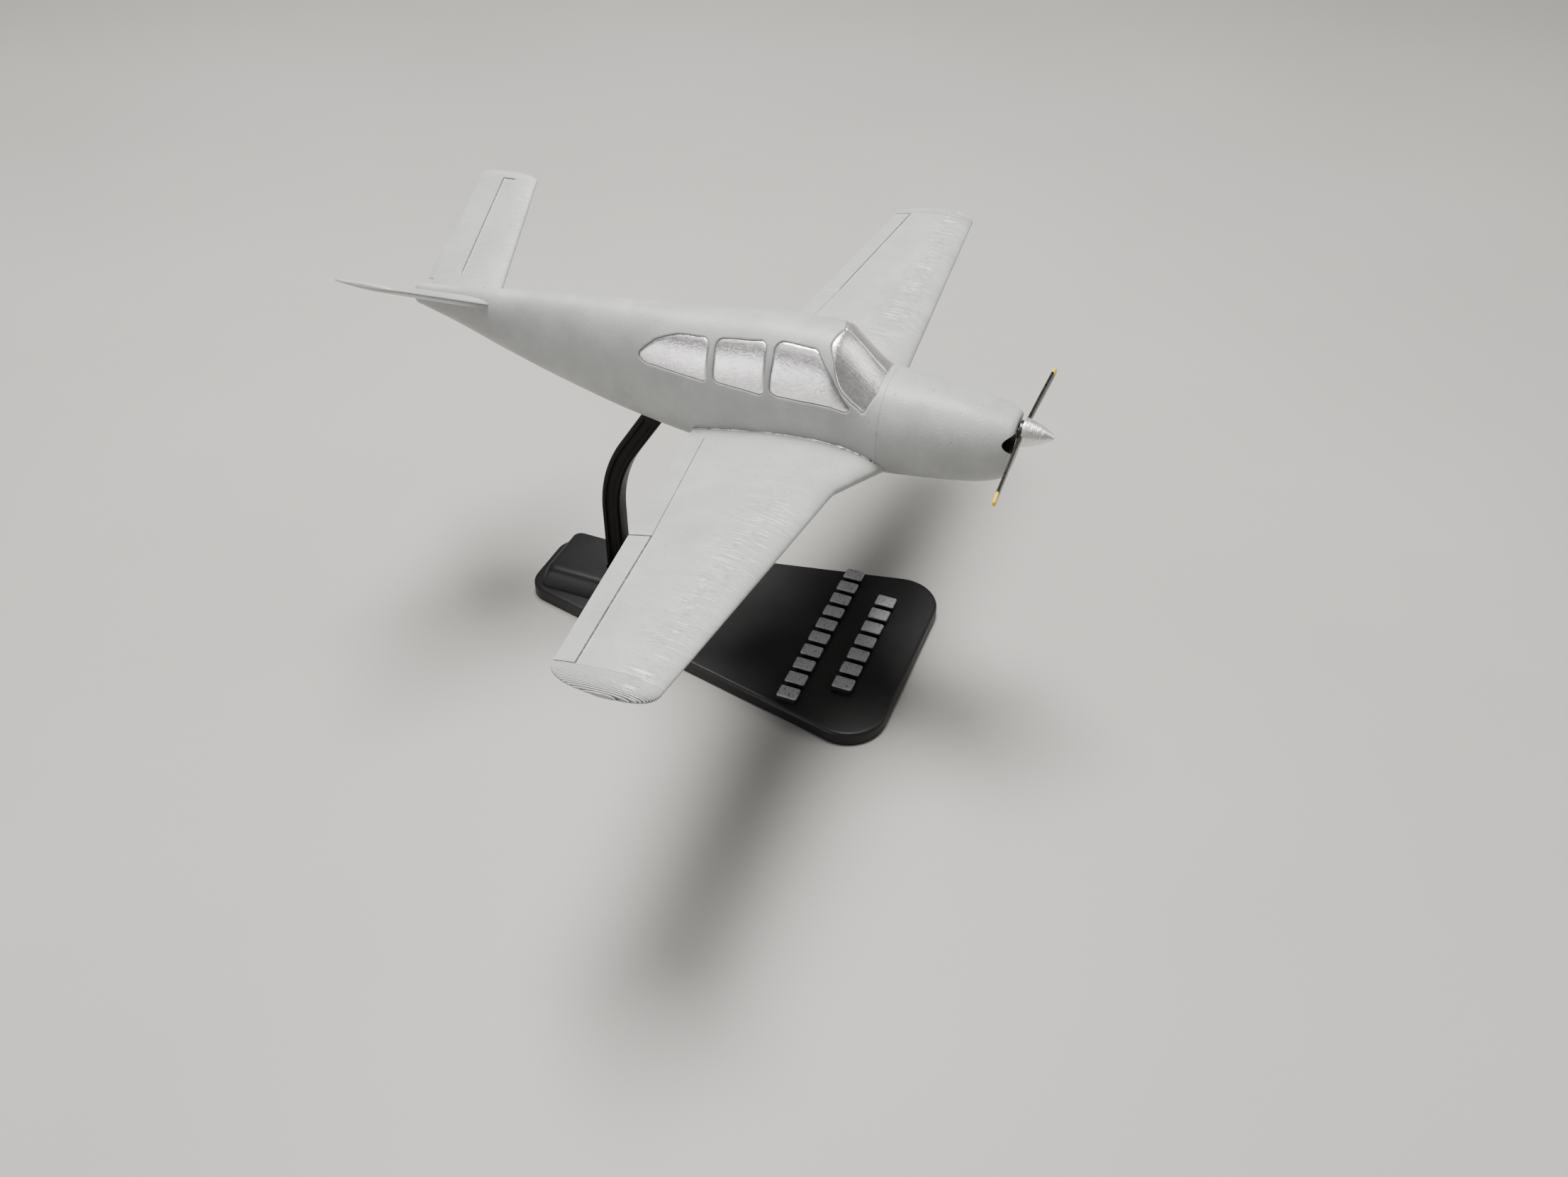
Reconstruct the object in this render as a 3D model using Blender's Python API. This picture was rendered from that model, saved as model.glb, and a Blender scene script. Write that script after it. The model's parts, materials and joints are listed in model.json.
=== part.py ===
"""Desk model of a single-engine V-tail propeller plane on a curved post and a flat foot.

The plane is a 1:48 model. Its own axes are: +X to the nose, +Y to its left wing, +Z up, with the
origin on the centreline under the cabin. The plane sits on the stand with its nose slightly up.
The stand's axes are the world's: the foot's underside lies at Z = 0.
All lengths below are millimetres, and MM turns them into metres when a mesh is made.
"""

import math

import bmesh
import bpy
import numpy as np
from mathutils import Matrix, Vector

MM = 0.001
GAP = 0.3
PAST = 2.0  # how far a cutting shape runs past what it cuts
SHARP_ANGLE = math.radians(32)

# ---- Stand ----------------------------------------------------------------------------------
PLATE_THICKNESS = 4.0
PLATE_REAR_X = -53.8
PLATE_FRONT_X = 56.0
PLATE_REAR_HALF_WIDTH = 11.4
PLATE_FRONT_HALF_WIDTH = 34.5
PLATE_FRONT_RADIUS = 10.5
PLATE_REAR_RADIUS = 6.8
PLATE_BEVEL = 0.8

BLOCK_REAR_X = -50.3
BLOCK_FRONT_X = -12.0
BLOCK_HALF_WIDTH = 10.7
BLOCK_TOP_HALF_WIDTH = 8.0
BLOCK_TOP_Z = 9.9
BLOCK_CORNER_RADIUS = 2.2
BLOCK_SHOULDER = (0.0, 0.25, 0.5, 0.68, 0.82, 0.92, 0.98, 1.0)
BLOCK_FLARE = 0.45

POST_X = -30.2
POST_SIDE = 5.2
POST_EDGE = 0.9
POST_FOOT_Z = 5.6
POST_STRAIGHT_TOP_Z = 30.0
POST_BEND_RADIUS = 40.0
POST_BEND_SECTIONS = 8
POST_LEAN = math.radians(33)
POST_CHANNEL_WIDTH = 2.2
POST_CHANNEL_DEPTH = 0.6
POST_CHANNEL_END = 35.5
POST_TOP = 41.5
PEG_START = 33.5
PEG_SIDE = 3.4
PEG_EDGE = 0.4
PEG_REACH = 47.0
LIFT_POINT = 38.6

SEAT_DEPTH = 0.8
MARKER_TOP_Z = 5.9
MARKER_DEPTH = 5.8
BAR_START = 0.14
BAR_SHARE = 0.72
BAR_INSET = 0.2
BAR_RADIUS = 0.4
MARKER_BARS = {
    # name: (rear edge in X, right end in Y, left end in Y, number of bars)
    "marker_strip_rear": (27.7, -27.5, 28.5, 10),
    "marker_strip_front": (39.6, -19.0, 21.2, 7),
}

# ---- Where the plane sits on the stand --------------------------------------------------------
PLANE_X = 40.3
PLANE_Z = 72.3
PLANE_PITCH = math.radians(2.2)

# ---- Fuselage: outlines as (X, value), read with a smooth curve between the points ------------
TOP_LINE = (
    (35.1, 12.6), (31.8, 13.6), (26.0, 15.0), (15.4, 16.6), (5.2, 17.3), (3.6, 17.6), (2.6, 18.5),
    (-4.6, 25.7), (-6.2, 26.7), (-9.0, 27.1), (-19.2, 27.2), (-38.5, 25.4), (-57.8, 24.0),
    (-77.0, 22.5), (-96.2, 20.6), (-110.7, 19.2), (-120.3, 18.3),
)
KEEL_LINE = (
    (35.1, 2.4), (33.9, -0.9), (31.8, -2.4), (26.0, -3.7), (15.4, -4.8), (3.8, -5.5), (-19.2, -6.4),
    (-38.5, -7.4), (-57.8, -5.2), (-77.0, -0.9), (-96.2, 4.9), (-110.7, 9.8), (-120.3, 12.7),
)
HALF_WIDTHS = (
    (35.1, 6.2), (33.9, 7.3), (31.8, 8.4), (26.0, 9.8), (15.4, 11.0), (3.8, 11.8), (-5.8, 11.7),
    (-19.2, 11.4), (-38.5, 10.8), (-57.8, 8.6), (-77.0, 6.3), (-96.2, 4.2), (-110.7, 2.4),
    (-120.3, 1.6),
)
SECTION_POWER = 2.45
WIDEST_AT = 0.353
CREASE_DEPTH = 0.11
CREASE_FRONT_X = 3.4
CREASE_REAR_X = -6.0
SECTION_POINTS = 44
COWL_SEAM_X = 5.2
COWL_FACE_X = 34.6
TAIL_ROUND_X = -120.3
TAIL_END_X = -122.6
TAIL_END_Z = 14.3
TAIL_END_SHARES = (0.35, 0.65, 0.85, 0.96)
BODY_MIDDLE_Z = 5.0
FRONT_STATIONS = (4.3, 3.6, 3.0, 2.2, 0.5, -1.2, -2.9, -4.2, -5.2, -6.2, -7.4, -9.5)
REAR_STATIONS = tuple(np.linspace(-13, -117, 18))
COWL_STATIONS = (COWL_SEAM_X, 10, 15, 20, 24, 27, 29.5, 31.2, 32.5, 33.4, 34.1, COWL_FACE_X)

SPIGOT_RADIUS = 7.0
SPIGOT_LENGTH = 5.0
SPIGOT_Z = 6.0
INLET_Y = 5.2
INLET_Z = 8.5
INLET_RADII = (2.3, 1.9)
INLET_DEPTH = 2.4

# ---- Cabin glass: outlines as (X, Z, corner radius) on the side, (X, Y, radius) on the nose ----
PANE_RECESS = 0.15
PANE_THICKNESS = 0.45
POCKET_CLEAR = 1.0
PATCH_CELL = 3.2
PANE_CORNER_STEPS = 3
SIDE_WINDOWS = {
    "rear_window": (
        (-37.0, 12.7, 1.0), (-36.8, 22.2, 1.6), (-45.5, 21.5, 5.0), (-50.6, 19.6, 4.0),
        (-55.9, 15.0, 1.2), (-53.4, 13.7, 1.2),
    ),
    "middle_window": ((-22.4, 12.4, 1.1), (-22.4, 24.1, 1.5), (-35.0, 22.5, 1.8), (-35.0, 13.2, 1.3)),
    "front_window": ((-1.2, 13.1, 0.7), (-10.4, 24.3, 2.2), (-20.2, 24.6, 1.8), (-20.9, 12.9, 1.6)),
}
WINDSHIELD = (
    (3.7, GAP / 2, 0.0), (3.3, 7.2, 1.6), (1.6, 10.2, 1.2), (-4.6, 9.9, 3.5),
    (-7.9, 6.2, 2.0), (-6.3, GAP / 2, 0.0),
)

# ---- Wing --------------------------------------------------------------------------------------
WING_ROOT_Y = 6.5
WING_KINK_Y = 24.7
WING_CAP_Y = 101.0
WING_TIP_Y = 106.4
WING_STATIONS = (WING_ROOT_Y, 12, 18, 21.5, WING_KINK_Y, 27, 34, 45, 57, 70, 82, 92, WING_CAP_Y)
WING_TIP_SHARES = (0.3, 0.55, 0.74, 0.87, 0.95, 0.985)
WING_SECTION_POINTS = 12
WING_DIHEDRAL = math.radians(5.48)
WING_NOSE = ((WING_ROOT_Y, 8.9), (18.0, 3.2), (WING_KINK_Y, 0.1), (27.0, -0.2), (WING_CAP_Y, -4.3))
WING_TAIL = ((WING_ROOT_Y, -41.8), (WING_CAP_Y, -27.0))
WING_THICKNESS = ((WING_ROOT_Y, 8.0), (WING_KINK_Y, 6.2), (WING_CAP_Y, 2.8))
TIP_NOSE_POWER = 3.0
TIP_TAIL_POWER = 2.0
TIP_THICKNESS_LEFT = 0.3
WING_CAMBER = 0.02
WING_CAMBER_AT = 0.4
TRAILING_EDGE = 0.5
HINGE_LINE = ((-36.1, 14.6), (-28.3, 57.8), (-22.4, 100.4), (-28.6, 101.2))
FLAP_SPLIT = ((-28.3, 57.8), (-36.4, 57.8))
GROOVE_WIDTH = 0.45
GROOVE_DEPTH = 0.35
GROOVE_STEP = 12.0
PIN_RADIUS = 1.0
PIN_GAP = 0.15
WING_PIN_Z = -1.0
FRONT_PIN_X = -8.0
REAR_PIN_X = -26.0
WING_PIN_HALF_LENGTH = 20.0

# ---- V-tail: X along the plane, S outwards along the fin ----------------------------------------
FIN_ROOT_Y = 4.35
FIN_ROOT_Z = 18.4
FIN_DIHEDRAL = math.radians(31.2)
FIN_START_S = -3.6
FIN_CAP_S = 31.2
FIN_TIP_S = 33.4
FIN_STATIONS = (FIN_START_S, 0, 5, 10, 15.6, 21, 26, FIN_CAP_S)
FIN_TIP_SHARES = (0.35, 0.65, 0.85, 0.96)
FIN_TIP_POWER = 2.5
FIN_TIP_CHORD_LEFT = 0.25
FIN_SECTION_POINTS = 9
FIN_NOSE = ((FIN_START_S, -98.6), (FIN_CAP_S, -101.9))
FIN_TAIL = ((FIN_START_S, -118.9), (FIN_CAP_S, -118.4))
FIN_THICKNESS = ((FIN_START_S, 2.5), (FIN_CAP_S, 1.7))
TAB_ROOT_S = -0.8
TAB_TIP_S = 15.6
TAB_REACH = 1.5
TAB_DEPTH = 2.6
TAB_HALF_THICKNESS = 0.4
FIN_HINGE_X = -111.2
FIN_HINGE = ((FIN_HINGE_X, 1.0), (FIN_HINGE_X, 31.0), (FIN_HINGE_X + 3.4, 31.0))
FIN_PIN_X = -106.0
FIN_PIN_RADIUS = 0.5
FIN_PIN_START_S = -2.2
FIN_PIN_LENGTH = 7.0

# ---- Propeller ----------------------------------------------------------------------------------
SHAFT_Z = 8.7
SHAFT_RADIUS = 0.8
SHAFT_HEAD_RADIUS = 1.7
SHAFT_HEAD_X = (24.0, 25.2)
SHAFT_HEAD_ROOM = 0.5
SLEEVE_RADIUS = 1.6
SLEEVE_X = (25.5, 34.1)
RUNNING_GAP = 0.06
PROP_X = 35.5
HUB_REAR_X = 35.0
HUB_FRONT_X = 36.2
BLADE_CHORDS = ((0.0, 2.1), (6.0, 2.1), (17.0, 2.6), (26.5, 2.5), (27.7, 2.1), (28.4, 1.1))
BLADE_THICKNESS = 0.95
BLADE_FORWARD_REACH = 0.9  # how far the tips lie ahead of the roots
BLADE_PITCH = math.radians(4)
BLADE_PITCH_CHANGE_Y = 2.5
BLADE_SECTION_POINTS = 12
BLADE_FULL_CHORD = 1.5
SPINNER_RADIUS = 3.5
SPINNER_BASE_X = 36.3
SPINNER_TIP_X = 42.7
SPINNER_BORE_END_X = 40.0
SPINNER_POWERS = (1.35, 0.7)
SPINNER_NOSE = ((SPINNER_TIP_X - 0.15, 0.5), (SPINNER_TIP_X, 0.2))
SPINNER_CONE_END_X = SPINNER_TIP_X - 0.35


# =================================================================================================
# General helpers
# =================================================================================================
def clear_scene():
    for item in list(bpy.data.objects):
        bpy.data.objects.remove(item, do_unlink=True)


def make_material(name, colour, roughness, metallic=0.0):
    material = bpy.data.materials.new(name)
    material.use_nodes = True
    shader = material.node_tree.nodes["Principled BSDF"]
    shader.inputs["Base Color"].default_value = (*colour, 1.0)
    shader.inputs["Roughness"].default_value = roughness
    shader.inputs["Metallic"].default_value = metallic
    material.diffuse_color = (*colour, 1.0)
    return material


def link_object(name, mesh, parent=None, material=None):
    item = bpy.data.objects.new(name, mesh)
    bpy.context.scene.collection.objects.link(item)
    item.parent = parent
    if material:
        mesh.materials.append(material)
    return item


def mesh_object(name, bm, parent=None, material=None):
    """Make an object from a bmesh in millimetres, with faces out and round parts shaded smooth."""
    bmesh.ops.recalc_face_normals(bm, faces=bm.faces[:])
    if bm.calc_volume(signed=True) < 0:
        bmesh.ops.reverse_faces(bm, faces=bm.faces[:])
    bmesh.ops.scale(bm, vec=(MM, MM, MM), verts=bm.verts[:])
    mesh = bpy.data.meshes.new(name)
    bm.to_mesh(mesh)
    bm.free()
    mesh.shade_smooth()
    mesh.set_sharp_from_angle(angle=SHARP_ANGLE)
    return link_object(name, mesh, parent, material)


def cut_away(item, *cutters):
    """Cut each cutter out of the object, and keep the cutters as hidden guides."""
    for cutter in cutters:
        cutter.hide_render = True
        cutter.display_type = "WIRE"
        modifier = item.modifiers.new("cut_" + cutter.name, "BOOLEAN")
        modifier.operation = "DIFFERENCE"
        modifier.solver = "EXACT"
        modifier.object = cutter


def add_on(item, extra):
    """Join another shape to the object, and keep that shape as a hidden guide."""
    extra.hide_render = True
    extra.display_type = "WIRE"
    modifier = item.modifiers.new("join_" + extra.name, "BOOLEAN")
    modifier.operation = "UNION"
    modifier.solver = "EXACT"
    modifier.object = extra


def smooth_value(points, at):
    """Read a smooth curve through (position, value) points that never overshoots them."""
    points = sorted(points)
    xs = [p[0] for p in points]
    ys = [p[1] for p in points]
    steps = [b - a for a, b in zip(xs, xs[1:])]
    rises = [(b - a) / h for a, b, h in zip(ys, ys[1:], steps)]
    slopes = [rises[0]]
    for before, after in zip(rises, rises[1:]):
        slopes.append(0.0 if before * after <= 0 else 2 * before * after / (before + after))
    slopes.append(rises[-1])
    at = min(max(at, xs[0]), xs[-1])
    i = min(max(int(np.searchsorted(xs, at)) - 1, 0), len(steps) - 1)
    h = steps[i]
    t = (at - xs[i]) / h
    return (
        ys[i] * (2 * t**3 - 3 * t**2 + 1)
        + slopes[i] * h * (t**3 - 2 * t**2 + t)
        + ys[i + 1] * (3 * t**2 - 2 * t**3)
        + slopes[i + 1] * h * (t**3 - t**2)
    )


def straight_value(points, at):
    """Read straight lines through (position, value) points, carried on past both ends."""
    points = sorted(points)
    i = 0
    while i < len(points) - 2 and at > points[i + 1][0]:
        i += 1
    (x0, y0), (x1, y1) = points[i], points[i + 1]
    return y0 + (y1 - y0) * (at - x0) / (x1 - x0)


def loft(rings):
    """Skin a list of rings of equal length into one closed solid with flat end caps."""
    bm = bmesh.new()
    loops = [[bm.verts.new(p) for p in ring] for ring in rings]
    for a, b in zip(loops, loops[1:]):
        for i in range(len(a)):
            j = (i + 1) % len(a)
            bm.faces.new((a[i], a[j], b[j], b[i]))
    bm.faces.new(list(reversed(loops[0])))
    bm.faces.new(loops[-1])
    return bm


def rounded_outline(corners, steps=4):
    """Turn (u, v, radius) corners into outline points, each corner rounded by an arc."""
    outline = []
    count = len(corners)
    for i, (u, v, radius) in enumerate(corners):
        here = Vector((u, v))
        if radius <= 0:
            outline.append(here)
            continue
        back = (Vector(corners[i - 1][:2]) - here).normalized()
        ahead = (Vector(corners[(i + 1) % count][:2]) - here).normalized()
        half = back.angle(ahead) / 2
        centre = here + (back + ahead).normalized() * (radius / math.sin(half))
        first = here + back * (radius / math.tan(half)) - centre
        last = here + ahead * (radius / math.tan(half)) - centre
        turn = first.angle_signed(last)
        for k in range(steps + 1):
            outline.append(centre + Matrix.Rotation(-turn * k / steps, 2) @ first)
    return outline


def grown_outline(outline, distance):
    """Move a closed outline outwards by a distance."""
    count = len(outline)
    area = sum(outline[i - 1].cross(outline[i]) for i in range(count))
    side = 1.0 if area > 0 else -1.0
    grown = []
    for i in range(count):
        before = (outline[i] - outline[i - 1]).normalized()
        after = (outline[(i + 1) % count] - outline[i]).normalized()
        out = Vector((before.y + after.y, -before.x - after.x)) * side
        grown.append(outline[i] + out.normalized() * (distance * 2 / out.length))
    return grown


def prism(outline, low, high):
    """Extrude an outline in X and Y from one height to another."""
    rings = [[Vector((p.x, p.y, z)) for p in outline] for z in (low, high)]
    return loft(rings)


def turned(profile, steps, axis_z):
    """Turn (X, radius) points about the X direction at a height; the ends are flat discs."""
    rings = []
    for x, radius in profile:
        angles = [2 * math.pi * k / steps for k in range(steps)]
        rings.append([Vector((x, radius * math.cos(a), axis_z + radius * math.sin(a))) for a in angles])
    return loft(rings)


def rod(start, end, radius, steps=16):
    """A round rod between two points."""
    along = (end - start).normalized()
    across = along.orthogonal().normalized()
    other = along.cross(across)
    rings = []
    for middle in (start, end):
        angles = [2 * math.pi * k / steps for k in range(steps)]
        rings.append([middle + (across * math.cos(a) + other * math.sin(a)) * radius for a in angles])
    return loft(rings)


# =================================================================================================
# Fuselage skin
# =================================================================================================
def section_size(x):
    """Half-width, height of the widest line, rise above it and drop below it, at a station."""
    top = smooth_value(TOP_LINE, x)
    keel = smooth_value(KEEL_LINE, x)
    widest = keel + WIDEST_AT * (top - keel)
    return smooth_value(HALF_WIDTHS, x), widest, top - widest, widest - keel


def crease(x):
    """How far the two windshield panes fold back from the centreline, as a share of the height."""
    along = (x - CREASE_REAR_X) / (CREASE_FRONT_X - CREASE_REAR_X)
    if not 0 < along < 1:
        return 0.0
    return CREASE_DEPTH * math.sin(math.pi * along) ** 0.7


def skin_at_angle(x, angle, grow=0.0):
    """A point on the skin, at an angle that runs from the left side over the top."""
    half_width, widest, rise, drop = section_size(x)
    c = math.cos(angle)
    s = math.sin(angle)
    across = math.copysign(abs(c) ** (2 / SECTION_POWER), c)
    up = abs(s) ** (2 / SECTION_POWER)
    y = across * (half_width + grow)
    if s < 0:
        return Vector((x, y, widest - up * (drop + grow)))
    fold = 1 - crease(x) * abs(across)
    return Vector((x, y, widest + up * fold * (rise + grow)))


def skin_on_side(x, z, side):
    """The skin's point at a station and a height above the widest line; side is +1 for left."""
    _, widest, rise, _ = section_size(x)
    share = min(max((z - widest) / rise, 0.0), 1.0)
    angle = math.asin(share ** (SECTION_POWER / 2))
    return skin_at_angle(x, angle if side > 0 else math.pi - angle)


def skin_on_nose(x, y, side):
    """The skin's point at a station and a distance from the centreline; side is +1 for left."""
    share = min(abs(y) / section_size(x)[0], 1.0)
    angle = math.acos(share ** (SECTION_POWER / 2))
    return skin_at_angle(x, angle if side * y > 0 else math.pi - angle)


def skin_normal(surface, u, v, side):
    step = 0.05
    du = surface(u + step, v, side) - surface(u - step, v, side)
    dv = surface(u, v + step, side) - surface(u, v - step, side)
    normal = du.cross(dv).normalized()
    outwards = surface(u, v, side) - Vector((u, 0, BODY_MIDDLE_Z))
    return normal if normal.dot(outwards) > 0 else -normal


def skin_ring(x, grow=0.0):
    angles = [2 * math.pi * k / SECTION_POINTS for k in range(SECTION_POINTS)]
    return [skin_at_angle(x, a, grow) for a in angles]


def shrunk_ring(ring, x, centre_z, share):
    """A ring moved to another station and drawn in towards a centre height."""
    return [Vector((x, p.y * share, centre_z + (p.z - centre_z) * share)) for p in ring]


def tail_end_rings(grow=0.0):
    """The blunt round end of the tail cone."""
    base = skin_ring(TAIL_ROUND_X, grow)
    rings = []
    for share in TAIL_END_SHARES:
        x = TAIL_ROUND_X + (TAIL_END_X - TAIL_ROUND_X) * share
        rings.append(shrunk_ring(base, x, TAIL_END_Z, math.sqrt(1 - share * share)))
    return rings


def fuselage_stations():
    return (COWL_SEAM_X - GAP, *FRONT_STATIONS, *REAR_STATIONS, TAIL_ROUND_X)


def envelope(name, parent):
    """The whole body swollen by the gap: what the wings and fins are cut back to."""
    rings = [skin_ring(x, GAP) for x in reversed(COWL_STATIONS[1:])]
    rings += [skin_ring(x, GAP) for x in fuselage_stations()]
    rings += tail_end_rings(GAP)
    return mesh_object(name, loft(rings), parent)


# =================================================================================================
# Cabin glass
# =================================================================================================
def skin_patch(surface, outline, side, outer, inner, cell):
    """A sheet that follows the skin inside an outline, between two depths below the skin."""
    bm = bmesh.new()
    bm.faces.new([bm.verts.new((p.x, p.y, 0)) for p in outline])
    for axis in (0, 1):
        low = min(p[axis] for p in outline)
        high = max(p[axis] for p in outline)
        cuts = max(int((high - low) / cell), 1)
        for k in range(1, cuts):
            point = Vector((0, 0, 0))
            point[axis] = low + (high - low) * k / cuts
            normal = Vector((0, 0, 0))
            normal[axis] = 1
            everything = bm.verts[:] + bm.edges[:] + bm.faces[:]
            bmesh.ops.bisect_plane(bm, geom=everything, plane_co=point, plane_no=normal, dist=1e-4)
    bmesh.ops.triangulate(bm, faces=bm.faces[:])
    extruded = bmesh.ops.extrude_face_region(bm, geom=bm.faces[:], use_keep_orig=True)
    inside = {v for v in extruded["geom"] if isinstance(v, bmesh.types.BMVert)}
    for vert in bm.verts:
        u, v = vert.co.x, vert.co.y
        depth = inner if vert in inside else outer
        vert.co = surface(u, v, side) - skin_normal(surface, u, v, side) * depth
    return bm


def add_pane(name, fuselage, surface, corners, side, parent, material):
    """One pane and the pocket that it lies in."""
    outline = rounded_outline(corners, PANE_CORNER_STEPS)
    floor = PANE_RECESS + PANE_THICKNESS + GAP
    pocket = skin_patch(surface, grown_outline(outline, GAP), side, -POCKET_CLEAR, floor, PATCH_CELL)
    cut_away(fuselage, mesh_object(name + "_pocket", pocket, parent))
    back = PANE_RECESS + PANE_THICKNESS
    pane = skin_patch(surface, outline, side, PANE_RECESS, back, PATCH_CELL)
    mesh_object(name, pane, parent, material)


# =================================================================================================
# Wing and fin surfaces
# =================================================================================================
def foil_heights(share, thickness, chord, camber):
    """Upper and lower height of a wing section at a share of its chord."""
    half = 5 * thickness * (
        0.2969 * math.sqrt(share) - 0.1260 * share - 0.3516 * share**2 + 0.2843 * share**3
        - 0.1036 * share**4
    )
    half += TRAILING_EDGE / 2 * share * min(thickness / 2.0, 1.0)
    if share < WING_CAMBER_AT:
        bow = (2 * WING_CAMBER_AT * share - share**2) / WING_CAMBER_AT**2
    else:
        bow = 1 - 2 * WING_CAMBER_AT + 2 * WING_CAMBER_AT * share - share**2
        bow /= (1 - WING_CAMBER_AT) ** 2
    middle = camber * chord * bow
    return middle + half, middle - half


def foil_ring(nose, tail, thickness, camber, place, points):
    """One section: over the top from the trailing edge to the nose, and back underneath."""
    chord = nose - tail
    shares = [(1 - math.cos(math.pi * k / points)) / 2 for k in range(points + 1)]
    upper = [(s, foil_heights(s, thickness, chord, camber)[0]) for s in reversed(shares)]
    lower = [(s, foil_heights(s, thickness, chord, camber)[1]) for s in shares[1:]]
    return [place(nose - s * chord, height) for s, height in upper + lower]


def cap_shrink(share, power):
    """How a tip's outline closes, from 1 at its start to 0 at the very tip; 2 is an ellipse."""
    return max(1 - share**power, 0.0) ** (1 / power)


def wing_edges(y):
    """Nose and tail of the wing, and its thickness, at a distance from the centreline."""
    reach = min(y, WING_CAP_Y)
    nose = straight_value(WING_NOSE, reach)
    tail = straight_value(WING_TAIL, reach)
    thickness = straight_value(WING_THICKNESS, reach)
    if y <= WING_CAP_Y:
        return nose, tail, thickness
    share = (y - WING_CAP_Y) / (WING_TIP_Y - WING_CAP_Y)
    middle = (nose + tail) / 2
    half = (nose - tail) / 2
    nose = middle + half * cap_shrink(share, TIP_NOSE_POWER)
    tail = middle - half * cap_shrink(share, TIP_TAIL_POWER)
    return nose, tail, thickness * max(cap_shrink(share, 2), TIP_THICKNESS_LEFT)


def wing_rise(y):
    return (y - WING_KINK_Y) * math.tan(WING_DIHEDRAL)


def wing_skin(x, y, side, above):
    """A point on the wing's upper or lower skin."""
    nose, tail, thickness = wing_edges(y)
    share = min(max((nose - x) / (nose - tail), 0.0), 1.0)
    upper, lower = foil_heights(share, thickness, nose - tail, WING_CAMBER)
    return Vector((x, y * side, wing_rise(y) + (upper if above else lower)))


def wing_rings(side):
    stations = list(WING_STATIONS)
    stations += [WING_CAP_Y + share * (WING_TIP_Y - WING_CAP_Y) for share in WING_TIP_SHARES]
    rings = []
    for y in stations:
        nose, tail, thickness = wing_edges(y)
        rings.append(foil_ring(nose, tail, thickness, WING_CAMBER,
                               lambda x, z, y=y: Vector((x, y * side, wing_rise(y) + z)),
                               WING_SECTION_POINTS))
    return rings


def groove(path, skin, out):
    """A thin blade that runs along a path of (X, distance) points and bites into a skin."""
    middles = [Vector(p) for p in path]
    rings = []
    for i, here in enumerate(middles):
        before = (here - middles[i - 1]).normalized() if i else None
        after = (middles[i + 1] - here).normalized() if i < len(middles) - 1 else None
        along = ((before or after) + (after or before)).normalized()
        across = Vector((-along.y, along.x)) * (GROOVE_WIDTH / 2)
        across /= max(abs(along.dot(before or after)), 0.5)
        left = here + across
        right = here - across
        rings.append([
            skin(left.x, left.y, -GROOVE_DEPTH), skin(right.x, right.y, -GROOVE_DEPTH),
            skin(right.x, right.y, out), skin(left.x, left.y, out),
        ])
    return loft(rings)


def divided(path, length):
    """Add points to a path so that no stretch is longer than a length."""
    dense = [path[0]]
    for a, b in zip(path, path[1:]):
        parts = max(int(math.dist(a, b) / length), 1)
        for k in range(1, parts + 1):
            dense.append(tuple(p + (q - p) * k / parts for p, q in zip(a, b)))
    return dense


def add_wing(name, side, body_envelope, parent, material):
    wing = mesh_object(name, loft(wing_rings(side)), parent, material)
    cut_away(wing, body_envelope)
    for above in (True, False):
        sign = 1 if above else -1
        for label, path in (("hinge", HINGE_LINE), ("split", FLAP_SPLIT)):
            def skin(x, y, out, above=above, sign=sign):
                return wing_skin(x, y, side, above) + Vector((0, 0, sign * out))
            blade = groove(divided(path, GROOVE_STEP), skin, PAST)
            face = "upper" if above else "lower"
            cut_away(wing, mesh_object(f"{name}_{label}_{face}", blade, parent))
    return wing


def fin_point(x, s, height, side):
    """A point on a fin from its place along and across it, and its height off the middle plane."""
    c = math.cos(FIN_DIHEDRAL)
    k = math.sin(FIN_DIHEDRAL)
    return Vector((x, side * (FIN_ROOT_Y + s * c - height * k), FIN_ROOT_Z + s * k + height * c))


def fin_edges(s):
    reach = min(s, FIN_CAP_S)
    nose = straight_value(FIN_NOSE, reach)
    tail = straight_value(FIN_TAIL, reach)
    thickness = straight_value(FIN_THICKNESS, reach)
    if s <= FIN_CAP_S:
        return nose, tail, thickness
    shrink = cap_shrink((s - FIN_CAP_S) / (FIN_TIP_S - FIN_CAP_S), FIN_TIP_POWER)
    middle = (nose + tail) / 2
    half = (nose - tail) / 2 * (FIN_TIP_CHORD_LEFT + (1 - FIN_TIP_CHORD_LEFT) * shrink)
    return middle + half, middle - half, thickness * max(shrink, TIP_THICKNESS_LEFT)


def fin_rings(side):
    stations = list(FIN_STATIONS)
    stations += [FIN_CAP_S + share * (FIN_TIP_S - FIN_CAP_S) for share in FIN_TIP_SHARES]
    rings = []
    for s in stations:
        nose, tail, thickness = fin_edges(s)
        rings.append(foil_ring(nose, tail, thickness, 0.0,
                               lambda x, z, s=s: fin_point(x, s, z, side), FIN_SECTION_POINTS))
    return rings


def fin_skin(x, s, out, side, above):
    nose, tail, thickness = fin_edges(s)
    share = min(max((nose - x) / (nose - tail), 0.0), 1.0)
    upper, lower = foil_heights(share, thickness, nose - tail, 0.0)
    return fin_point(x, s, (upper + out) if above else (lower - out), side)


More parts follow.
